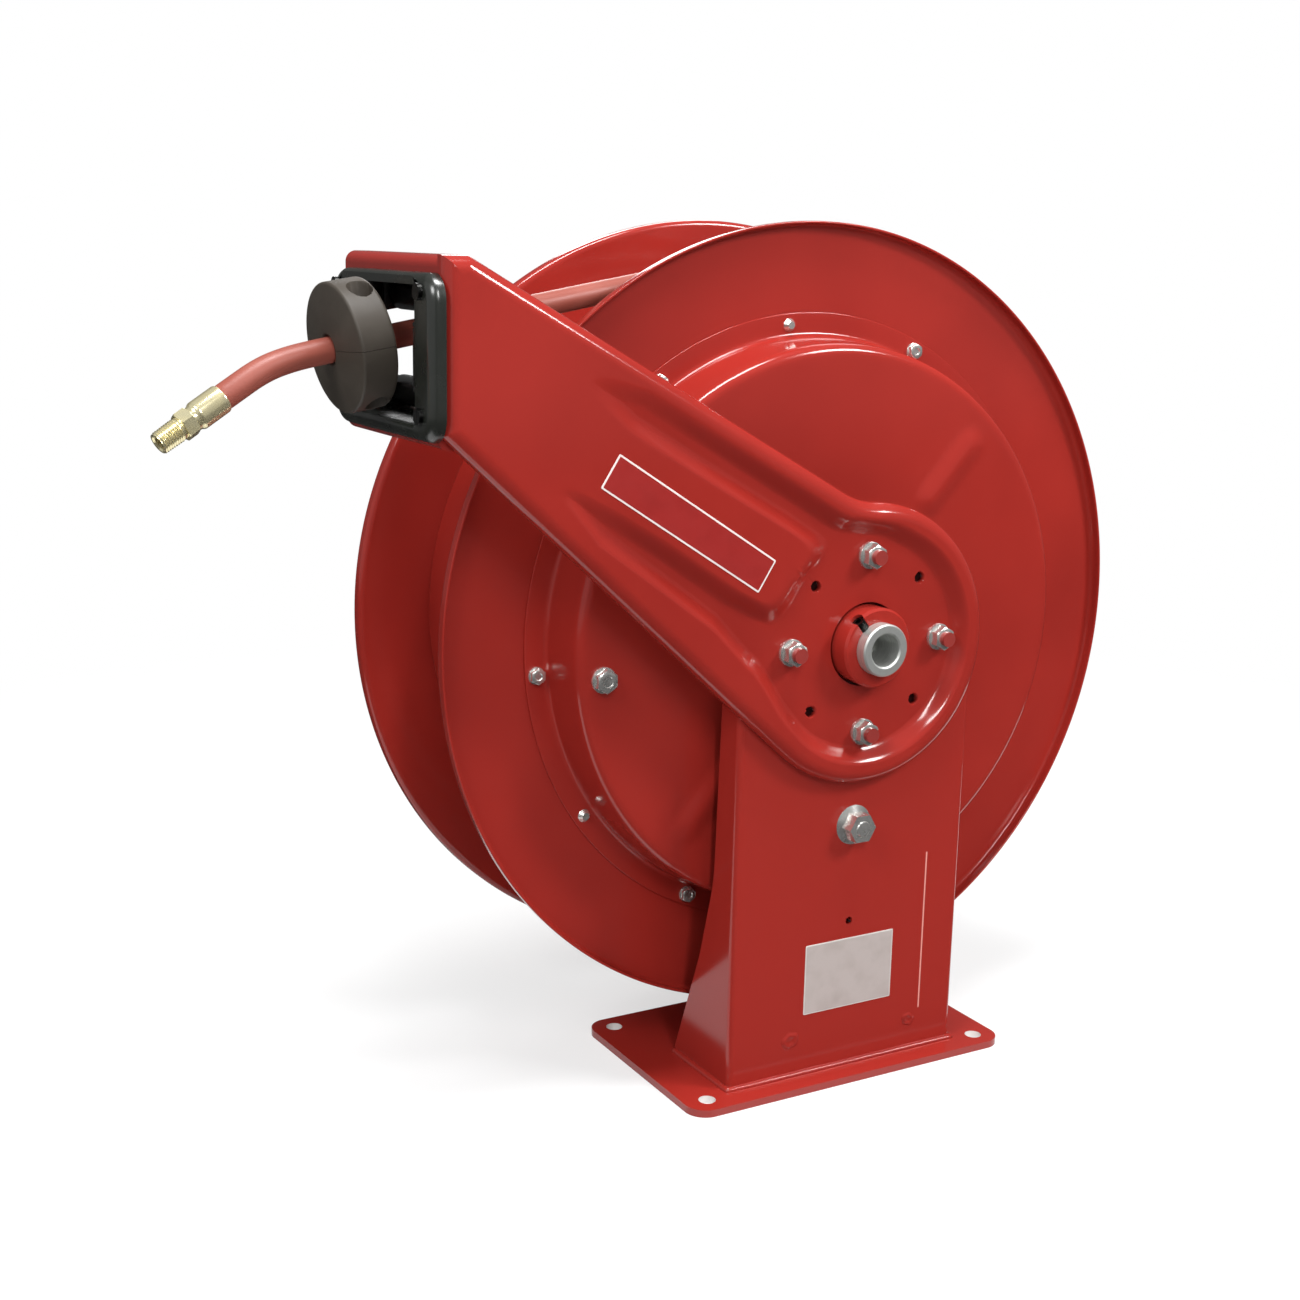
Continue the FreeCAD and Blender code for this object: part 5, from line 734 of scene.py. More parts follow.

# %% [markdown]
# ## The arm's paint
# The arm has the same red powder coat, apart from the four small holes in the dish, whose dark
# inside is painted shade. Real holes would break the grid, so they are shallow wells, and the paint
# turns to that painted shade by its distance from their axes.

# %% Arm paint
# The dark colour in the four small holes is painted shade.
HOLE_SHADE, HOLE_BLUR = (0.02, 0.002, 0.002, 1), 0.4
arm_paint = powder_coat("red_paint_arm")
x, _, z = arm_paint.axes()
off_x, off_z = x.size() - HOLE_PLACE * MM, (z - AXLE_HEIGHT).size() - HOLE_PLACE * MM
from_hole = x.math("SQRT", off_x * off_x + off_z * off_z)
outside = arm_paint.ramp(from_hole, (SMALL_HOLE - HOLE_BLUR) * MM, (SMALL_HOLE + HOLE_BLUR) * MM)
arm_paint.feed("Base Color", arm_paint.mix(outside, HOLE_SHADE, arm_paint.colour))
guide_arm = mesh_piece("guide_arm_pressing", arm_points,
                       grid_faces(*arm_points.shape[:2], True, True), arm_paint, 32.0)
finished(guide_arm, "frame", "red_paint", "guide_arm")

# %% [markdown]
# ## Roller frame
# The frame is moulded in black nylon: a rounded bezel in front of the arm's flange, and a short
# tunnel through it. A cube with a Boolean and a Bevel could start it, but the outer and the inner
# edge have different roundings. So bezel and tunnel are one ring: a chain of rounded rectangles,
# each with its own size and its own place along X.

# %% Roller frame
FRAME_Y, FRAME_Z, FLANGE_FACE = 7.5, 476.5, -289.0
BEZEL, BEZEL_THICK, BEZEL_CORNER, BEZEL_ROUND = (74.5, 45.3), 9.0, 15.0, 6.5
BEZEL_SHIFT, LIP_ROUND = (-3.0, -2.3), 3.0
TUNNEL, TUNNEL_WALL, TUNNEL_BACK, TUNNEL_ROUND = (52.5, 38.0), 4.0, -272.0, 0.6
CORNER_STEPS, SIDE_STEPS = 9, 8


def rounded_rectangle(half_wide, half_tall, radius):
    """Closed outline of a rectangle whose corners are quarter circles; each side has even points."""
    corners = []
    for quarter, way in enumerate(((1, 1), (-1, 1), (-1, -1), (1, -1))):
        a = np.radians(90.0 * quarter + np.linspace(0, 90, CORNER_STEPS))
        middle = np.multiply((half_wide - radius, half_tall - radius), way)
        corners.append(middle + radius * np.stack((np.cos(a), np.sin(a)), -1))
    following = corners[1:] + corners[:1]
    sides = [run_points(one[-1], other[0], SIDE_STEPS)[1:] for one, other in zip(corners, following)]
    return np.concatenate([part for pair in zip(corners, sides) for part in pair])


def ring_row(half_wide, half_tall, corner, x):
    """Rounded rectangle about the frame's middle, at x along the mouth's axis."""
    plan = rounded_rectangle(half_wide, half_tall, corner)
    return np.stack((np.full(len(plan), x), FRAME_Y + plan[:, 0], FRAME_Z + plan[:, 1]), -1)


def bezel_rows():
    """Rows round the section: outer rim, rounded front, rounded inner lip, tunnel inside and outside."""
    front, edge = FLANGE_FACE - BEZEL_THICK, TUNNEL_ROUND
    shift = np.array((0.0, BEZEL_SHIFT[0], BEZEL_SHIFT[1]))
    rows = [ring_row(BEZEL[0], BEZEL[1], BEZEL_CORNER, FLANGE_FACE) + shift]
    for a in np.radians(np.linspace(0, 90, 11)):
        inset = BEZEL_ROUND * (1 - np.cos(a))
        rows.append(ring_row(BEZEL[0] - inset, BEZEL[1] - inset, BEZEL_CORNER - inset,
                             front + BEZEL_ROUND - BEZEL_ROUND * np.sin(a)) + shift)
    tunnel = [(LIP_ROUND * (1 - np.sin(a)), 2.0 + LIP_ROUND * (1 - np.sin(a)),
               front + LIP_ROUND * (1 - np.cos(a))) for a in np.radians(np.linspace(0, 90, 9))]
    tunnel += [(0, 1.8, TUNNEL_BACK - edge), (edge, 2.2, TUNNEL_BACK),
               (TUNNEL_WALL - edge, 3.0, TUNNEL_BACK), (TUNNEL_WALL, 3.4, TUNNEL_BACK - edge),
               (TUNNEL_WALL, 3.4, FLANGE_FACE)]
    rows += [ring_row(TUNNEL[0] + out, TUNNEL[1] + out, corner, x) for out, corner, x in tunnel]
    return np.array(rows)


ring = bezel_rows()
print("bezel and tunnel grid", ring.shape)

# %% [markdown]
# ## Ears and shelves
# Behind the tunnel four ears hold the pins of the level rollers, between a floor and a roof. Each is
# a flat form with softened edges: its outline grows from a point to the full shape, goes along the
# wall, and shrinks again. All six are joined with the ring into one mesh, because they were moulded
# in one piece, and each part's faces are turned outwards before that.

# %% Ears and shelves
EAR_BACK, EAR_RADIUS, EAR_EDGE, PIN_X, PIN_APART = -254.0, 8.0, 0.5, -262.0, 28.0
SHELF_ROUND, OVERLAP = 0.8, 2.0


def wall_across(plan, middle, stops):
    """Rows of a flat form across Y: middle + share * (plan - middle), for each (share, y)."""
    rows = []
    for share, y in stops:
        flat = middle + share * (plan - middle)
        rows.append(np.stack((flat[:, 0], np.full(len(flat), y), flat[:, 1]), -1))
    return np.array(rows)


def shelf(end):
    """Floor or roof of the cage behind the tunnel: a flat bar along Y with rounded edges."""
    half_deep, half_tall = (EAR_BACK - TUNNEL_BACK + OVERLAP) / 2, TUNNEL_WALL / 2
    middle = np.array(((EAR_BACK + TUNNEL_BACK - OVERLAP) / 2, FRAME_Z + end * (TUNNEL[1] + half_tall)))
    plan = middle + rounded_rectangle(half_deep, half_tall, SHELF_ROUND)
    reach = TUNNEL[0] + TUNNEL_WALL
    return wall_across(plan, middle, [(share, FRAME_Y + y * reach) for share, y in (
        (0, -1), (0.93, -1), (1, -0.985), (1, 0.985), (0.93, 1), (0, 1))])


def ear(side, end):
    """Ear round a pin: a stadium from the tunnel's back to the pin, one wall thick along Y."""
    pin_z = FRAME_Z + end * PIN_APART
    inner = FRAME_Y + side * TUNNEL[0]
    outer = FRAME_Y + side * (TUNNEL[0] + TUNNEL_WALL)
    a = np.radians(np.linspace(0, 90, 15))
    nose = np.stack((PIN_X + EAR_RADIUS * np.cos(a), pin_z - end * EAR_RADIUS * np.sin(a)), -1)
    heel = np.stack((np.full(5, EAR_BACK), pin_z + end * np.linspace(12.0, 3.0, 5)), -1)
    root = np.stack((np.full(9, TUNNEL_BACK - OVERLAP), pin_z + end * np.linspace(-10.0, 12.0, 9)), -1)
    plan = np.concatenate((heel, nose, root))
    edge = side * EAR_EDGE
    return wall_across(plan, plan.mean(0), (
        (0, inner), (0.94, inner), (1, inner + edge), (1, outer - edge), (0.94, outer), (0, outer)))


chunks = [(ring.reshape(-1, 3), grid_faces(*ring.shape[:2], True, True))]
for rows in [ear(side, end) for side in (-1, 1) for end in (-1, 1)] + [shelf(-1), shelf(1)]:
    chunks.append((rows.reshape(-1, 3), grid_faces(*rows.shape[:2], False, True)))
offsets = np.cumsum([0] + [len(points) for points, _ in chunks])
frame_points = np.concatenate([points for points, _ in chunks]) * MM
frame_faces = np.concatenate([outward(*chunk) + offset for chunk, offset in zip(chunks, offsets)])
moulding = mesh_piece("roller_frame_moulding", frame_points, frame_faces, nylon, 35.0)
finished(moulding, "frame", "guide_plastic", "roller_frame")

# %% [markdown]
# ## Upright rollers
# Two upright rollers guard the mouth's ends. Each is a plastic barrel between two thinner hubs, with
# a groove near each end. It could be a stack of cylinders, but a lathe's profile has no hidden
# faces, and its corners are softened, which gives the bright lines that moulded parts show.

# %% Upright rollers
ROLLER, HUB, GROOVE, GROOVE_START, GROOVE_END = 9.0, 5.6, 0.5, 2.5, 3.3
ROLLER_LOW, ROLLER_HIGH, HUB_LOW, HUB_HIGH, ROLLER_X = 454.5, 492.5, 439.1, 513.9, -284.0
ROLLER_AROUND = 64


def upright_roller(name, y):
    """Turned shape on an upright axle: barrel between two thinner hubs, with a groove near each end."""
    inner, radii, heights = ROLLER - GROOVE, [], []
    for hub, end, way in ((HUB_LOW, ROLLER_LOW, 1), (HUB_HIGH, ROLLER_HIGH, -1)):
        near, far = end + way * GROOVE_START, end + way * GROOVE_END
        radii += [(0, HUB, HUB, ROLLER, ROLLER, inner, inner, ROLLER)[::way]]
        heights += [(hub, hub, end, end, near, near, far, far)[::way]]
    corners = np.column_stack((np.concatenate(radii), np.concatenate(heights)))
    rounding = (0, 0.4, 0.3, 0.8, 0.2, 0.1, 0.1, 0.2)
    profile = soften(corners, rounding + rounding[::-1])
    turn = np.linspace(0, 2 * np.pi, ROLLER_AROUND, endpoint=False)[None, :]
    radius, height = profile[:, :1], profile[:, 1:]
    points = np.stack((ROLLER_X + radius * np.cos(turn), y + radius * np.sin(turn), height + 0 * turn), -1)
    return mesh_piece(name, points * MM, grid_faces(len(profile), ROLLER_AROUND, False, True), roller, 35.0)


for place, y in (("front", -34.5), ("rear", 49.5)):
    finished(upright_roller(place + "_barrel", y), place + "_roller", "roller_plastic", "roller_" + place)

# %% [markdown]
# ## Plates
# A thin plate lies on the arm and another on the post. Both are left blank: a printed rim and an
# even field. A cube scaled flat would have hard edges that catch no light. So a plate is a stack
# of rounded rectangles: its rows grow from the middle to the rim, go round the edge, and close
# behind, and a slightly smaller one lies on it as the field.

# %% Plates
POST_FRONT = -58.0


def flat_plate(name, centre, size, slope, corner, back_y, thick, finish):
    """Plate on a face that looks along -Y: rows grow from the middle, go round the rim and close."""
    slope, edge = np.radians(slope), 0.4 * thick
    top = rounded_rectangle(size[0] / 2 - edge, size[1] / 2 - edge, corner)
    side = rounded_rectangle(size[0] / 2, size[1] / 2, corner + edge)
    plan = np.array((0 * top, 0.5 * top, top, side, side, 0 * top))
    levels = np.array((-thick, -thick, -thick, edge - thick, 0.0, 0.0))
    x = centre[0] + plan[..., 0] * np.cos(slope) + plan[..., 1] * np.sin(slope)
    z = centre[1] - plan[..., 0] * np.sin(slope) + plan[..., 1] * np.cos(slope)
    points = np.stack((x, back_y + levels[:, None] + np.zeros_like(x), z), -1)
    return mesh_piece(name, points * MM, grid_faces(*x.shape, False, True), finish, 30.0)


def label_finish(name, colour, worn):
    """Printed sheet: even colour with faint stains, and a soft shine."""
    made = Finish(name, Specular_IOR_Level=0.5)
    stains, rough = made.ramp(made.noise(70.0, 4.0), 0.45, 0.8), 0.25 + 0.15 * made.noise(90.0)
    return made.dress(stains, colour, worn, rough, made.noise(300.0), 0.00003, 0.3)


pale = label_finish("plate_pale", (0.78, 0.70, 0.68, 1), (0.70, 0.60, 0.58, 1))
foil = label_finish("plate_foil", (0.46, 0.40, 0.38, 1), (0.40, 0.34, 0.32, 1))
foil_edge = label_finish("plate_rim", (0.62, 0.58, 0.55, 1), (0.56, 0.50, 0.48, 1))
deep = label_finish("plate_red", (0.30, 0.016, 0.014, 1), (0.26, 0.013, 0.011, 1))
AXLE = AXLE_HEIGHT / MM
FIELD_THICK = 0.08
for name, centre, (wide, tall), slope, back_y, thick, margin, rim_finish, field_finish in (
        ("arm_plate", (-135.6, 84.7 + AXLE), (128.0, 22.4), 32.3, ARM_FRONT, 0.25, 2.2, pale, deep),
        ("post_plate", (1.5, 70.1), (70.0, 48.0), 0.0, POST_FRONT, 0.30, 1.6, foil_edge, foil)):
    plate = flat_plate(name, centre, (wide, tall), slope, 0.8, back_y, thick, rim_finish)
    finished(plate, "frame", "red_paint")
    plate = flat_plate(name + "_field", centre, (wide - margin, tall - margin), slope, 0.5,
                       back_y - thick, FIELD_THICK, field_finish)
    finished(plate, "frame", "red_paint")

# %% [markdown]
# ## The hose as one line
# A hose has one middle line, and everything else is carried along it. Here the line is a smooth
# NURBS spline drawn by a few control points, and read back as a chain of points. A curve's own
# bevel could make the tube, but its rings can't follow a joint evenly. So a round section is swept
# along the chain, with even steps. One fixed direction, such as away from the drum's axle, keeps
# the section from twisting.

# %% Hose line and sweep
HOSE = 7.25


def spline(points, resolution):
    """Points along the quadratic NURBS spline whose control points are given, in metres."""
    curve = bpy.data.curves.new("line", "CURVE")
    curve.dimensions = "3D"
    curve.resolution_u = resolution
    line = curve.splines.new("NURBS")
    line.points.add(len(points) - 1)
    line.points.foreach_set("co", np.column_stack((points, np.ones(len(points)))).ravel())
    line.order_u = 3
    line.use_endpoint_u = True
    holder = put("line", curve)
    bpy.context.view_layer.update()
    mesh = bpy.data.meshes.new_from_object(holder.evaluated_get(bpy.context.evaluated_depsgraph_get()))
    chain = np.empty(len(mesh.vertices) * 3)
    mesh.vertices.foreach_get("co", chain)
    bpy.data.objects.remove(holder, do_unlink=True)
    bpy.data.meshes.remove(mesh)
    bpy.data.curves.remove(curve)
    return chain.reshape(-1, 3)


def even(chain, step):
    """The chain resampled so that its points are step apart, by length along it."""
    length = np.concatenate(((0,), np.cumsum(np.linalg.norm(np.diff(chain, axis=0), axis=1))))
    at = np.linspace(0, length[-1], max(2, int(round(length[-1] / step)) + 1))
    return np.stack([np.interp(at, length, chain[:, k]) for k in range(3)], -1), length[-1]


def sweep(name, chain, radius, finish, upright, around):
    """Point = c + r (cos a * side + sin a * over), with side across the line and over along upright."""
    tangent = unit(np.gradient(chain, axis=0))
    side = unit(np.cross(tangent, upright))
    over = np.cross(side, tangent)
    turn = np.linspace(0, 2 * np.pi, around, endpoint=False)[None, :, None]
    radius = np.broadcast_to(np.asarray(radius, float).reshape(-1, 1, 1), (len(chain), 1, 1))
    rings = chain[:, None] + radius * (np.cos(turn) * side[:, None] + np.sin(turn) * over[:, None])
    ends = np.repeat(chain[[0, -1]][:, None], around, 1)
    points = np.concatenate((ends[:1], rings, ends[1:]))
    return mesh_piece(name, points, grid_faces(len(points), around, False, True), finish, 60.0)


print("sweep ready")

# %% [markdown]
# ## Welds
# The post stands in a weld bead, and two ribs behind it leave low round marks on its front. A bump
# can't change their outline against the light, so both are real relief. The bead is a sweep whose
# radius ripples as the welder moved: short waves for each drop of metal, and long ones by hand.
# A mark is a grid of circles whose height makes a ring with a hollow middle.

# %% Weld bead and plug welds
POST_HALF, POST_BACK, BASE_TOP, BEAD, BEAD_STEP = 90.0, 9.0, 5.0, 2.6, 0.5
WELD_MARKS, MARK_AROUND = ((-43.0, 30.0, 6.5), (53.0, 26.0, 5.2)), 40
UPWARD = np.array((0.0, 0.0, 1.0))
bead_path, _ = even(np.array((
    (-POST_HALF, POST_BACK, BASE_TOP), (-POST_HALF, POST_FRONT, BASE_TOP),
    (POST_HALF, POST_FRONT, BASE_TOP), (POST_HALF, POST_BACK, BASE_TOP))) * MM, BEAD_STEP * MM)
walk = np.arange(len(bead_path)) * BEAD_STEP
ripple = BEAD + 0.16 * np.abs(np.sin(walk * 1.25))
ripple += 0.22 * np.sin(walk * 0.11) * np.sin(walk * 0.047 + 1.0)
foot_weld = sweep("foot_weld", bead_path, ripple * MM, paint, UPWARD, 12)
finished(foot_weld, "frame", "red_paint")


def weld_mark(name, x, z, radius):
    """Low ring with a hollow middle on the post: height = 0.7 exp(-((r - 0.6 R) / 0.3 R)^2) + 0.15."""
    share = np.linspace(0, 1, 12)[:, None]
    turn = np.linspace(0, 2 * np.pi, MARK_AROUND, endpoint=False)[None, :]
    wobble = 1 + 0.10 * np.sin(2 * turn + x) + 0.06 * np.sin(5 * turn + z)
    r = radius * share * wobble
    rise = (0.7 * np.exp(-((share - 0.6) / 0.3) ** 2) + 0.15) * smooth((1 - share) / 0.25) + 0 * turn
    top = np.stack((x + r * np.cos(turn), POST_FRONT - rise, z + r * np.sin(turn)), -1)
    back = top[[-1, 0]].copy()
    back[..., 1] = POST_FRONT + 0.1
    points = np.concatenate((top, back)) * MM
    return mesh_piece(name, points, grid_faces(len(points), MARK_AROUND, False, True), paint, 60.0)


for number, (x, z, radius) in enumerate(WELD_MARKS):
    finished(weld_mark("plug_weld_%d" % number, x, z, radius), "frame", "red_paint")

# %% [markdown]
# ## Nuts and bolts
# A hexagon head is cut from a bar and chamfered on a lathe, so its outline is the smaller of two
# radii: the hexagon's, apothem / cos(angle within the sixth), and the chamfer's cone. A six-sided
# cylinder with a Bevel shows flats, but not the curved line where the cone cuts them. Heads of one
# kind are one mesh, a copy of the same grid at each place.

# %% Nuts and bolts
HEAD_AROUND = 48


def hex_heads(name, places, flats, tall, flange, shank, dimple, base_y, finish):
    """Heads on the plane base_y, looking along -Y; flange and shank are (radius, thickness or length)."""
    turn = np.linspace(0, 2 * np.pi, HEAD_AROUND, endpoint=False)
    hexagon = 0.5 * flats / np.cos((turn + np.pi / 6) % (np.pi / 3) - np.pi / 6)
    ring = 0.475 * flats
    grow = np.linspace(0, hexagon.max() - ring, 6)
    rows = [(0, tall), (ring - 0.3, tall)]
    if dimple:
        rows = [(0, tall - 0.5), (dimple - 0.5, tall - 0.5), (dimple, tall), (ring - 0.3, tall)]
    rows += [(np.minimum(hexagon, ring + g), tall - 0.12 - 0.5 * g) for g in grow]
    (wide, thick), (stem, long) = flange, shank
    rows += [(hexagon, thick + 0.05), (wide - 0.9, thick), (wide - 0.2, thick - 0.25),
             (wide, thick - 0.8), (wide, 0), (stem, 0), (stem, -long), (0, -long)]
    radii = np.array([np.broadcast_to(radius, HEAD_AROUND) for radius, _ in rows])
    heights = np.array([height for _, height in rows])[:, None] + np.zeros_like(radii)
    one = np.stack((radii * np.cos(turn), base_y - heights, radii * np.sin(turn)), -1).reshape(-1, 3)
    shifts = np.array([(x, 0.0, z) for x, z in places])
    cells = grid_faces(len(radii), HEAD_AROUND, False, True)
    points = (one[None] + shifts[:, None]).reshape(-1, 3) * MM
    faces = (cells[None] + np.arange(len(places))[:, None, None] * len(one)).reshape(-1, 4)
    return mesh_piece(name, points, faces, finish, 28.0)


def circle_places(radius, first, count):
    """Even places on a circle about the axle, as (x, z) in mm; first is in degrees."""
    turns = np.radians(first + 360.0 / count * np.arange(count))
    return [(radius * np.cos(a), AXLE + radius * np.sin(a)) for a in turns]


HUB_CIRCLE, CASE_CIRCLE, ANCHOR = 57.0, 195.6, (-167.36, 277.86)
heads = hex_heads("hub_nut_set", circle_places(HUB_CIRCLE, 0.0, 4), 13.6, 8.8,
                  (8.7, 2.2), (4.9, 0.4), 0, -62.0, zinc)
finished(heads, "frame", "zinc", "hub_nuts")
heads = hex_heads("case_bolt_set", circle_places(CASE_CIRCLE, 5.0, 6), 9.2, 4.2,
                  (5.6, 1.0), (3.0, 10.8), 2.4, 11.9, zinc)
finished(heads, "drum", "zinc", "case_bolts")
heads = hex_heads("anchor_bolt_head", (ANCHOR,), 13.2, 6.4,
                  (8.3, 1.6), (5.5, 35.6), 3.6, CASE_FRONT, zinc)
finished(heads, "drum", "zinc", "anchor_bolt")

# %% [markdown]
# ## Hose on the drum
# The hose lies in two layers behind the front disc: it comes in on top, runs to the disc, steps
# down to the core, and runs back to the elbow of the riser pipe, which feeds it with water. Rings
# set side by side would look much the same, but a hose is one piece, and where it changes layer it
# shows. Its control points stand every 30 degrees, slightly outside the circle, because a
# quadratic spline cuts inside its control points by the factor 0.75 + 0.25 cos 30.

# %% Hose on the drum
UPPER, LOWER, LEAVE_TURN, LEAVE_Y, FIRST_Y, LAST_Y = 233.75, 218.75, 99.197, 46.25, 23.0, 81.0
PITCH, STEP_TURN, RISER_TURN, STRAIGHT, ARM_OF_ELBOW = 15.5, 60.0, 305.0, 14.5, 15.95
KNOT_TURN, LEAVE_DRIFT = 29.5, 0.15
elbow_lean = np.degrees(np.arctan2(STRAIGHT + ARM_OF_ELBOW, LOWER))
upper_end = LEAVE_TURN - 1.5 * 360
lower_start = upper_end - STEP_TURN
lower_part = (lower_start - RISER_TURN - elbow_lean) % 360
lower_turns = lower_part + 360 * np.floor(((LAST_Y - FIRST_Y) / PITCH * 360 - lower_part) / 360)
knots = np.array((LEAVE_TURN, upper_end, lower_start, lower_start - lower_turns))
turns = np.linspace(knots[0], knots[-1], int(round((knots[0] - knots[-1]) / KNOT_TURN)) + 1)
step_share = smooth((upper_end - turns) / STEP_TURN)
distance = UPPER + (LOWER - UPPER) * step_share
upper_share = (LEAVE_TURN - turns) / (LEAVE_TURN - upper_end)
lower_share = np.clip((lower_start - turns) / lower_turns, 0, 1)
along = np.where(turns > upper_end, LEAVE_Y + (FIRST_Y - LEAVE_Y) * upper_share,
                 FIRST_Y + (LAST_Y - FIRST_Y) * lower_share)
spacing = np.radians(turns[0] - turns[1])
distance = distance / (0.75 + 0.25 * np.cos(spacing))
angle = np.radians(turns)
coil = np.stack((distance * np.cos(angle), along, distance * np.sin(angle) + AXLE), -1) * MM


def tangent_run(turn, radius, y, way, reach):
    """Point reach beyond the end of the coil, on its tangent; way is +1 towards larger angles."""
    a = np.radians(turn)
    spot = np.array((radius * np.cos(a), y, radius * np.sin(a) + AXLE))
    return (spot + way * reach * np.array((-np.sin(a), 0, np.cos(a)))) * MM


leave_point = tangent_run(LEAVE_TURN, UPPER, LEAVE_Y + LEAVE_DRIFT, 1, STRAIGHT)
elbow_point = tangent_run(knots[-1], LOWER, LAST_Y, -1, STRAIGHT)
coil[0] = tangent_run(LEAVE_TURN, UPPER, LEAVE_Y, 1, 0)
coil[-1] = tangent_run(knots[-1], LOWER, LAST_Y, -1, 0)
coil_chain, coil_length = even(spline(np.vstack((leave_point, coil, elbow_point)), 12), 0.006)
outwards = coil_chain - np.array((0, 0, AXLE_HEIGHT))
outwards[:, 1] = 0
hose_coil = sweep("hose_on_drum", coil_chain, HOSE * MM, cover, outwards, 28)
finished(hose_coil, "drum", "hose_rubber", "hose_winding")
print("hose on the drum: %.3f m in %.2f turns" % (coil_length, (knots[0] - knots[-1]) / 360))

# %% [markdown]
# ## Free run, tail and fitting
# From the drum the hose runs straight to the rollers and through them to the stop. That run is one
# fixed piece, fastened to no body: a stand-in for the hose that would come off the drum. Beyond
# the stop the tail droops by its own weight to the threaded end. A simulation could hang it, but a
# hose this stiff bends so little in 11 cm that its drop is listed, from the photograph.

# %% Free run and tail
PULL = np.array((-0.96799, -0.19601, -0.15674))
STOP_REAR = np.array((-304.50, 4.36, 479.99)) * MM
bend_point = leave_point + unit(leave_point - coil[0]) * 3 * STRAIGHT * MM
run_chain, run_length = even(spline(np.array((leave_point, bend_point, STOP_REAR)), 48), 0.004)
hose_run = sweep("hose_free_run", run_chain, HOSE * MM, cover, UPWARD, 40)
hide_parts("hose_run")
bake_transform(hose_run)

TAIL_DROP = ((0, 0), (30, 0), (50, 0.3), (68, 2.8), (88, 10.6), (100.5, 15.6), (113, 20.6))
TAIL_STEP, IN_SLEEVE, SQUEEZED = 2.0, 20.5, 0.7
dip = unit(np.cross(PULL, np.cross(PULL * (1, 1, 0), UPWARD)))
dip *= -np.sign(dip[2])
ahead, down = np.transpose(TAIL_DROP)[..., None] * MM
tail_points = STOP_REAR + ahead * PULL + down * dip
tail_chain, tail_length = even(spline(tail_points, 24), TAIL_STEP * MM)
from_end = (len(tail_chain) - 1 - np.arange(len(tail_chain))) * TAIL_STEP
tail_radius = (HOSE - SQUEEZED * smooth((IN_SLEEVE - from_end) / 1.5)) * MM
hose_tail = sweep("hose_end_piece", tail_chain, tail_radius, cover, UPWARD, 40)
finished(hose_tail, "hose_end", "hose_rubber", "hose_tail")
print("free run %.3f m, tail %.3f m" % (run_length, tail_length))

# %% [markdown]
# ## Hose stop
# The stop is a rubber disc in two halves, screwed together round the hose, with a slightly domed
# face. Its section is turned through half a circle for each half. Two wells for the screws are sunk
# into the rim. A Boolean could drill them, but it leaves thin triangles that shade badly, so the
# surface itself drops straight down inside a circle.

# %% Hose stop
STOP_RADIUS, STOP_THICK, STOP_DOME, STOP_YAW, STOP_HOLE, STOP_SPLIT = 36.3, 21.0, 5.0, 7.0, 7.3, 0.12
RIM_FRONT, RIM_REAR, THROAT, THROAT_DEEP = 1.2, 2.2, 2.4, 3.4
WELL_ACROSS, WELL_RADIUS, WELL_SEAT, WELL_WALL = 2.3 * 7.35, 6.6, 20.6, 0.7
HALF_STEPS = 260


def carried(vector):
    """The vector after the least turn that takes -X onto the pull."""
    axis = np.cross((-1.0, 0, 0), PULL)
    return vector + np.cross(axis, vector) + np.cross(axis, np.cross(axis, vector)) / (1 - PULL[0])


stop_up, stop_side = carried(UPWARD), carried(np.array((0, 1.0, 0)))
yaw = np.radians(STOP_YAW)
stop_axis = PULL * np.cos(yaw) + stop_side * np.sin(yaw)
stop_across = stop_side * np.cos(yaw) - PULL * np.sin(yaw)
stop_middle = STOP_REAR / MM + PULL * STOP_THICK / 2


def stop_section():
    """Radius and height along the axis, round the section: rear face, rim, domed face, hole."""
    half, face = STOP_THICK / 2, STOP_THICK / 2 + STOP_DOME * (1 - (STOP_HOLE / STOP_RADIUS) ** 2)
    rear_a, rim_a, throat_a = (np.radians(np.linspace(*stops)) for stops in (
        (0, 90, 7), (90, 10, 5), (12, 90, 7)))
    dome = np.linspace(STOP_RADIUS - RIM_FRONT, STOP_HOLE + THROAT, 40)
    side = np.linspace(-half + RIM_REAR, half - RIM_FRONT, 46)[1:-1]
    lift = RIM_FRONT * (np.abs(np.cos(rim_a)) - 1) + 0.3 * (1 - np.sin(rim_a))
    return np.concatenate([np.column_stack(np.broadcast_arrays(*pair)) for pair in (
        (np.linspace(STOP_HOLE + 3, STOP_RADIUS - 5, 8), -half),
        (STOP_RADIUS + RIM_REAR * (np.sin(rear_a) - 1), -half + RIM_REAR - RIM_REAR * np.cos(rear_a)),
        (STOP_RADIUS, side),
        (STOP_RADIUS + RIM_FRONT * (np.sin(rim_a) - 1), half + lift),
        (dome, half + STOP_DOME * (1 - (dome / STOP_RADIUS) ** 2)),
        (STOP_HOLE + THROAT * (1 - np.sin(throat_a)), face - THROAT_DEEP * (1 - np.cos(throat_a))),
        (STOP_HOLE, np.linspace(face - THROAT_DEEP - 1.0, -half, 12)))])


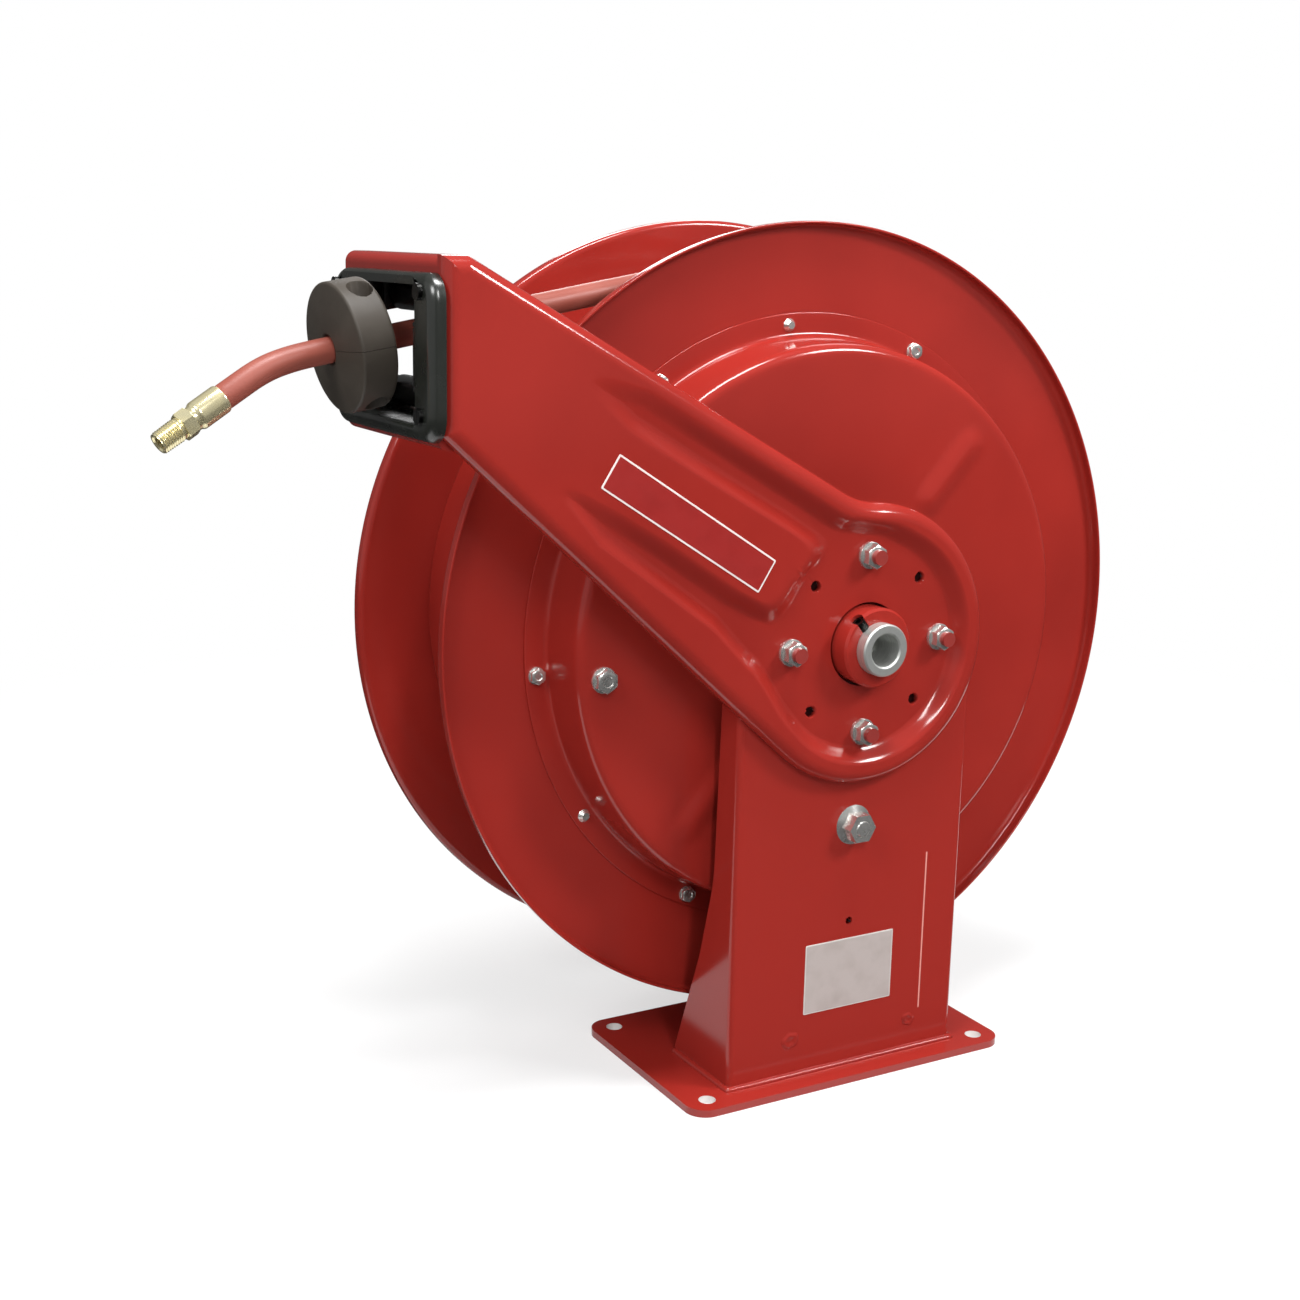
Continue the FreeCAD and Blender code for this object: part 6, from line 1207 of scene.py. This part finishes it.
def stop_half(name, sign):
    """Point = middle + h * axis + r (cos a * across + sin a * up), leant to follow the hose inside."""
    section = stop_section()
    radius, height = section[:, :1, None], section[:, 1:, None]
    turn = np.linspace(0, np.pi, HALF_STEPS)[None, :, None]
    across, up = radius * np.cos(turn), sign * (STOP_SPLIT + radius * np.sin(turn))
    inward = np.clip((STOP_RADIUS - radius) / (STOP_RADIUS - STOP_HOLE), 0, 1)
    lean = height * (PULL / (PULL @ stop_axis) - stop_axis) * inward
    points = stop_middle + height * stop_axis + across * stop_across + up * stop_up + lean
    away, on_rim = points - stop_middle, radius[..., 0] > STOP_RADIUS - 0.5
    for spot in (-WELL_ACROSS, WELL_ACROSS):
        gap = np.hypot(away @ PULL, away @ stop_side - spot)
        rise = away @ stop_up * sign
        inside = smooth((WELL_RADIUS - gap) / WELL_WALL + 0.5) * on_rim
        sunk = inside * np.clip(rise - WELL_SEAT, 0, None)
        points = points - (sign * sunk)[..., None] * stop_up
    core = np.repeat(points.mean(0, keepdims=True)[:, [0, -1]], len(points), 0)
    points = np.concatenate((core[:, :1], points, core[:, 1:]), 1)
    return mesh_piece(name, points * MM, grid_faces(*points.shape[:2], True, False), stopper, 35.0)


for sign, name in ((1, "stop_upper"), (-1, "stop_lower")):
    finished(stop_half(name + "_moulding", sign), "hose_end", "stop_rubber", name)

# %% [markdown]
# ## Brass end
# A smooth ferrule is pressed on the hose, and the fitting follows it: a hexagon for the spanner and
# a tapered thread. A Screw modifier can wind a thread, but its start and end stay cut off. Here the
# thread is a helix on the lathe's grid: the radius follows a triangle wave of
# (height / pitch - angle / 360), and the wave fades at both ends.

# %% Ferrule
END_DIRECTION, END_AROUND = unit(tail_points[-1] - tail_points[-2]), 96
FERRULE, RING, FERRULE_BORE, COLLAR = 21.0, 8.1, 6.4, 5.7
FERRULE_ROUNDING = (0.2, 0.4, 0.6, 0.9, 0.9, 0.4, 0.2, 0.2, 0.2)


def turned_along(name, heights, radii, origin):
    """Point = origin + h * direction + r (cos a, sin a) across it; radii is rows by columns."""
    side = unit(np.cross(END_DIRECTION, UPWARD))
    over = np.cross(side, END_DIRECTION)
    turn = np.linspace(0, 2 * np.pi, END_AROUND, endpoint=False)[None, :, None]
    across = np.cos(turn) * side + np.sin(turn) * over
    points = origin + (heights[:, None, None] * END_DIRECTION + radii[..., None] * across) * MM
    return mesh_piece(name, points, grid_faces(*radii.shape, True, True), brass, 30.0)


sleeve = soften((
    (0, FERRULE_BORE), (0, RING - 0.35), (0.9, RING), (17.0, RING), (18.6, RING - 1.1),
    (FERRULE, RING - 1.5), (FERRULE, COLLAR), (FERRULE - 1, COLLAR), (FERRULE - 1, FERRULE_BORE)),
    FERRULE_ROUNDING, 6)
ferrule = turned_along("ferrule_sleeve", sleeve[:, 0], np.repeat(sleeve[:, 1:], END_AROUND, 1),
                       tail_points[-1] - END_DIRECTION * (FERRULE - 1) * MM)
finished(ferrule, "hose_end", "brass", "ferrule")

# %% Hexagon and thread
HEX_LONG, HEX_HALF, CHAMFER, CHAMFER_LONG = 7.2, 7.2, 1.4, 0.8
THREAD_LONG, THREAD, TAPER, THREAD_DEPTH, THREAD_PITCH, BORE = 15.0, 6.7, 0.35, 0.75, 1.41, 3.7
END = HEX_LONG + THREAD_LONG
turn = np.linspace(0, 360, END_AROUND, endpoint=False)
hexagon = HEX_HALF / np.cos(np.radians((turn + 30) % 60 - 30))
hex_heights = np.concatenate((np.linspace(0, 1, 5), np.linspace(1, HEX_LONG - 1, 4)[1:-1],
                              np.linspace(HEX_LONG - 1, HEX_LONG, 5)))
from_face = np.minimum(hex_heights, HEX_LONG - hex_heights)
cone = HEX_HALF + 0.3 + CHAMFER * np.minimum(1, from_face / CHAMFER_LONG)
hex_radii = np.minimum(hexagon, cone[:, None])
thread_heights = np.linspace(HEX_LONG + 0.05, END, 104)[:, None]
phase = (thread_heights / THREAD_PITCH - turn / 360) % 1
fade = smooth((thread_heights - HEX_LONG - 1.2) / 1.5) * smooth((END + 0.4 - thread_heights) / 1.6)
crest = THREAD - TAPER * (thread_heights - HEX_LONG) / THREAD_LONG
thread_radii = crest - THREAD_DEPTH * np.abs(2 * phase - 1) * fade - (1 - fade) * 0.55
bore_radii = np.repeat(np.array(((BORE + 1.1,), (BORE,), (BORE,))), END_AROUND, 1)
heights = np.concatenate((hex_heights, thread_heights[:, 0], (END, END - 0.8, 0.0)))
radii = np.concatenate((hex_radii, thread_radii, bore_radii))
fitting = turned_along("hose_fitting_male", heights, radii, tail_points[-1] + END_DIRECTION * MM)
finished(fitting, "hose_end", "brass", "hose_fitting")

# %% [markdown]
# ## Light
# A catalogue photograph is lit by large soft lamps from several sides. Point lamps would give hard
# shadows and hard spots in the paint, so these are area lamps: a key from the right, a narrow one
# in front, one from the left, one above and a weaker one behind. The world, in the next step,
# gives the even part of the light.

# %% Lamps
LAMP_AIM = (0, 0, 0.3)
LAMPS = (("lamp_key", (1.15, -1.25, 1.60), (0.5, 0.5), 28.0),
         ("lamp_front", (-0.60, -1.80, 1.55), (0.22, 0.9), 18.0),
         ("lamp_left", (-1.8, -0.7, 1.8), (0.8, 0.8), 22.0),
         ("lamp_top", (-0.1, -0.25, 2.2), (0.9, 0.5), 40.0),
         ("lamp_back", (0.9, 2.1, 1.6), (0.8, 0.8), 14.0))


def lamp(name, spot, size, power):
    """Area lamp of a width and height, at a spot, turned towards LAMP_AIM."""
    data = bpy.data.lights.new(name, "AREA")
    data.shape = "RECTANGLE"
    data.size, data.size_y = size
    data.energy = power
    away = unit(np.subtract(spot, LAMP_AIM))
    level = unit(np.cross(UPWARD, away))
    return put(name, data, level, np.cross(away, level), away, spot)


print("lamps:", [lamp(*settings).name for settings in LAMPS])

# %% [markdown]
# ## World and floor
# The backdrop has to be plain white without throwing more light on the object. A bright world would
# wash the red out. So two backgrounds are mixed: the camera, mirrors and glass see a white one, and
# the object is lit by a weaker one. The floor does the same with its colour, and its own shine
# grows with the distance from the middle, so that only the shadow near the object stays.

# %% World and floor
WORLD_LEVEL, WHITE, FLOOR_LIT, FLOOR_SEEN = 0.26, (1, 1, 1, 1), (0.42,) * 3 + (1,), (0.92,) * 3 + (1,)
FLOOR_HALF, SHADOW_EDGE, WHITE_EDGE, LEAST_SHINE = 6.0, 0.5, 1.3, 0.6
world = bpy.data.worlds.new("studio")
bpy.context.scene.world = world
world.use_nodes = True
studio = Nodes(world.node_tree)
studio.tree.nodes.clear()
lit = studio.node("ShaderNodeBackground", {}, {"Color": WHITE, "Strength": WORLD_LEVEL})
seen = studio.node("ShaderNodeBackground", {}, {"Color": WHITE, "Strength": 1.0})
both = studio.node("ShaderNodeMixShader", {}, {0: studio.direct_view(), 1: lit, 2: seen})
world_output = studio.tree.nodes.new("ShaderNodeOutputWorld")
studio.tree.links.new(both.socket, world_output.inputs["Surface"])

floor_finish = Finish("floor_paper", Roughness=0.9, Specular_IOR_Level=0.0)
direct = floor_finish.direct_view()
floor_finish.feed("Base Color", floor_finish.mix(direct, FLOOR_LIT, FLOOR_SEEN))
from_middle = floor_finish.node(
    "ShaderNodeVectorMath", {"operation": "LENGTH"}, {0: floor_finish.place()}, "Value")
outer = floor_finish.ramp(from_middle, SHADOW_EDGE, WHITE_EDGE)
share = direct * (LEAST_SHINE + (1 - LEAST_SHINE) * outer)
shine = floor_finish.node("ShaderNodeEmission", {}, {"Color": WHITE, "Strength": 1.0})
paper = Wire(floor_finish, floor_finish.shader.outputs[0])
both = floor_finish.node("ShaderNodeMixShader", {}, {0: share, 1: paper, 2: shine})
surface = floor_finish.tree.nodes["Material Output"].inputs["Surface"]
floor_finish.tree.links.new(both.socket, surface)


def flat_piece(name, corners, finish):
    """One four-cornered face of the stage."""
    mesh = bpy.data.meshes.new(name)
    mesh.from_pydata(corners, [], [(0, 1, 2, 3)])
    mesh.materials.append(finish.material)
    made = put(name, mesh)
    return made


def level_corners(x0, y0, x1, y1, z):
    """Corners of a level rectangle."""
    return [(x0, y0, z), (x1, y0, z), (x1, y1, z), (x0, y1, z)]


floor = flat_piece("floor", level_corners(-FLOOR_HALF, -FLOOR_HALF, FLOOR_HALF, FLOOR_HALF, 0), floor_finish)
print("stage:", floor.name, "and world", world.name)

# %% [markdown]
# ## Dark cards
# Glossy paint shows its surroundings. In a studio these are dark walls, and only the paper close to
# the object is bright. A picture of a studio could wrap the world, but this script uses none. Nine
# cards stand for the walls, the ceiling and the far floor, and only mirror reflections see them.

# %% Dark cards
WALL, LOW, NEAR, NEAR_BACK, FRONT_EDGE = 3.4, 0.002, 0.75, 0.3, -0.082


def glow(level):
    """Even grey that shines by itself, so that its level does not depend on the lamps."""
    return Finish("studio_wall_%02d" % round(100 * level), Base_Color=(0, 0, 0, 1), Roughness=1.0,
                  Specular_IOR_Level=0.0, Emission_Color=WHITE, Emission_Strength=level)


def standing_corners(x0, y0, x1, y1):
    """Corners of an upright card, from the floor to the height WALL."""
    return [(x0, y0, 0), (x1, y1, 0), (x1, y1, WALL), (x0, y0, WALL)]


dark, dim, soft, bright, overhead = (glow(level) for level in (0.04, 0.12, 0.20, 0.45, 0.30))
for name, corners, finish in (
        ("card_low_front", level_corners(-WALL, -WALL, WALL, FRONT_EDGE, LOW), dark),
        ("card_low_left", level_corners(-WALL, FRONT_EDGE, -NEAR, WALL, LOW), dark),
        ("card_low_right", level_corners(NEAR, FRONT_EDGE, WALL, WALL, LOW), dark),
        ("card_low_back", level_corners(-NEAR, NEAR_BACK, NEAR, WALL, LOW), dark),
        ("card_top", level_corners(-WALL, -WALL, WALL, WALL, WALL), overhead),
        ("card_front", standing_corners(-WALL, -WALL, WALL, -WALL), soft),
        ("card_back", standing_corners(-WALL, WALL, WALL, WALL), dim),
        ("card_left", standing_corners(-WALL, -WALL, -WALL, WALL), bright),
        ("card_right", standing_corners(WALL, -WALL, WALL, WALL), dim)):
    card = flat_piece(name, corners, finish)
    card.visible_camera = card.visible_diffuse = False
    card.visible_shadow = card.visible_transmission = False
    print(name, finish.material.name)
bpy.context.scene.view_settings.view_transform = "Standard"

# %% [markdown]
# ## Last step
# The view layer is brought up to date. The visual model has to stay in the measured
# model's box.

# %% Finish
bpy.context.view_layer.update()
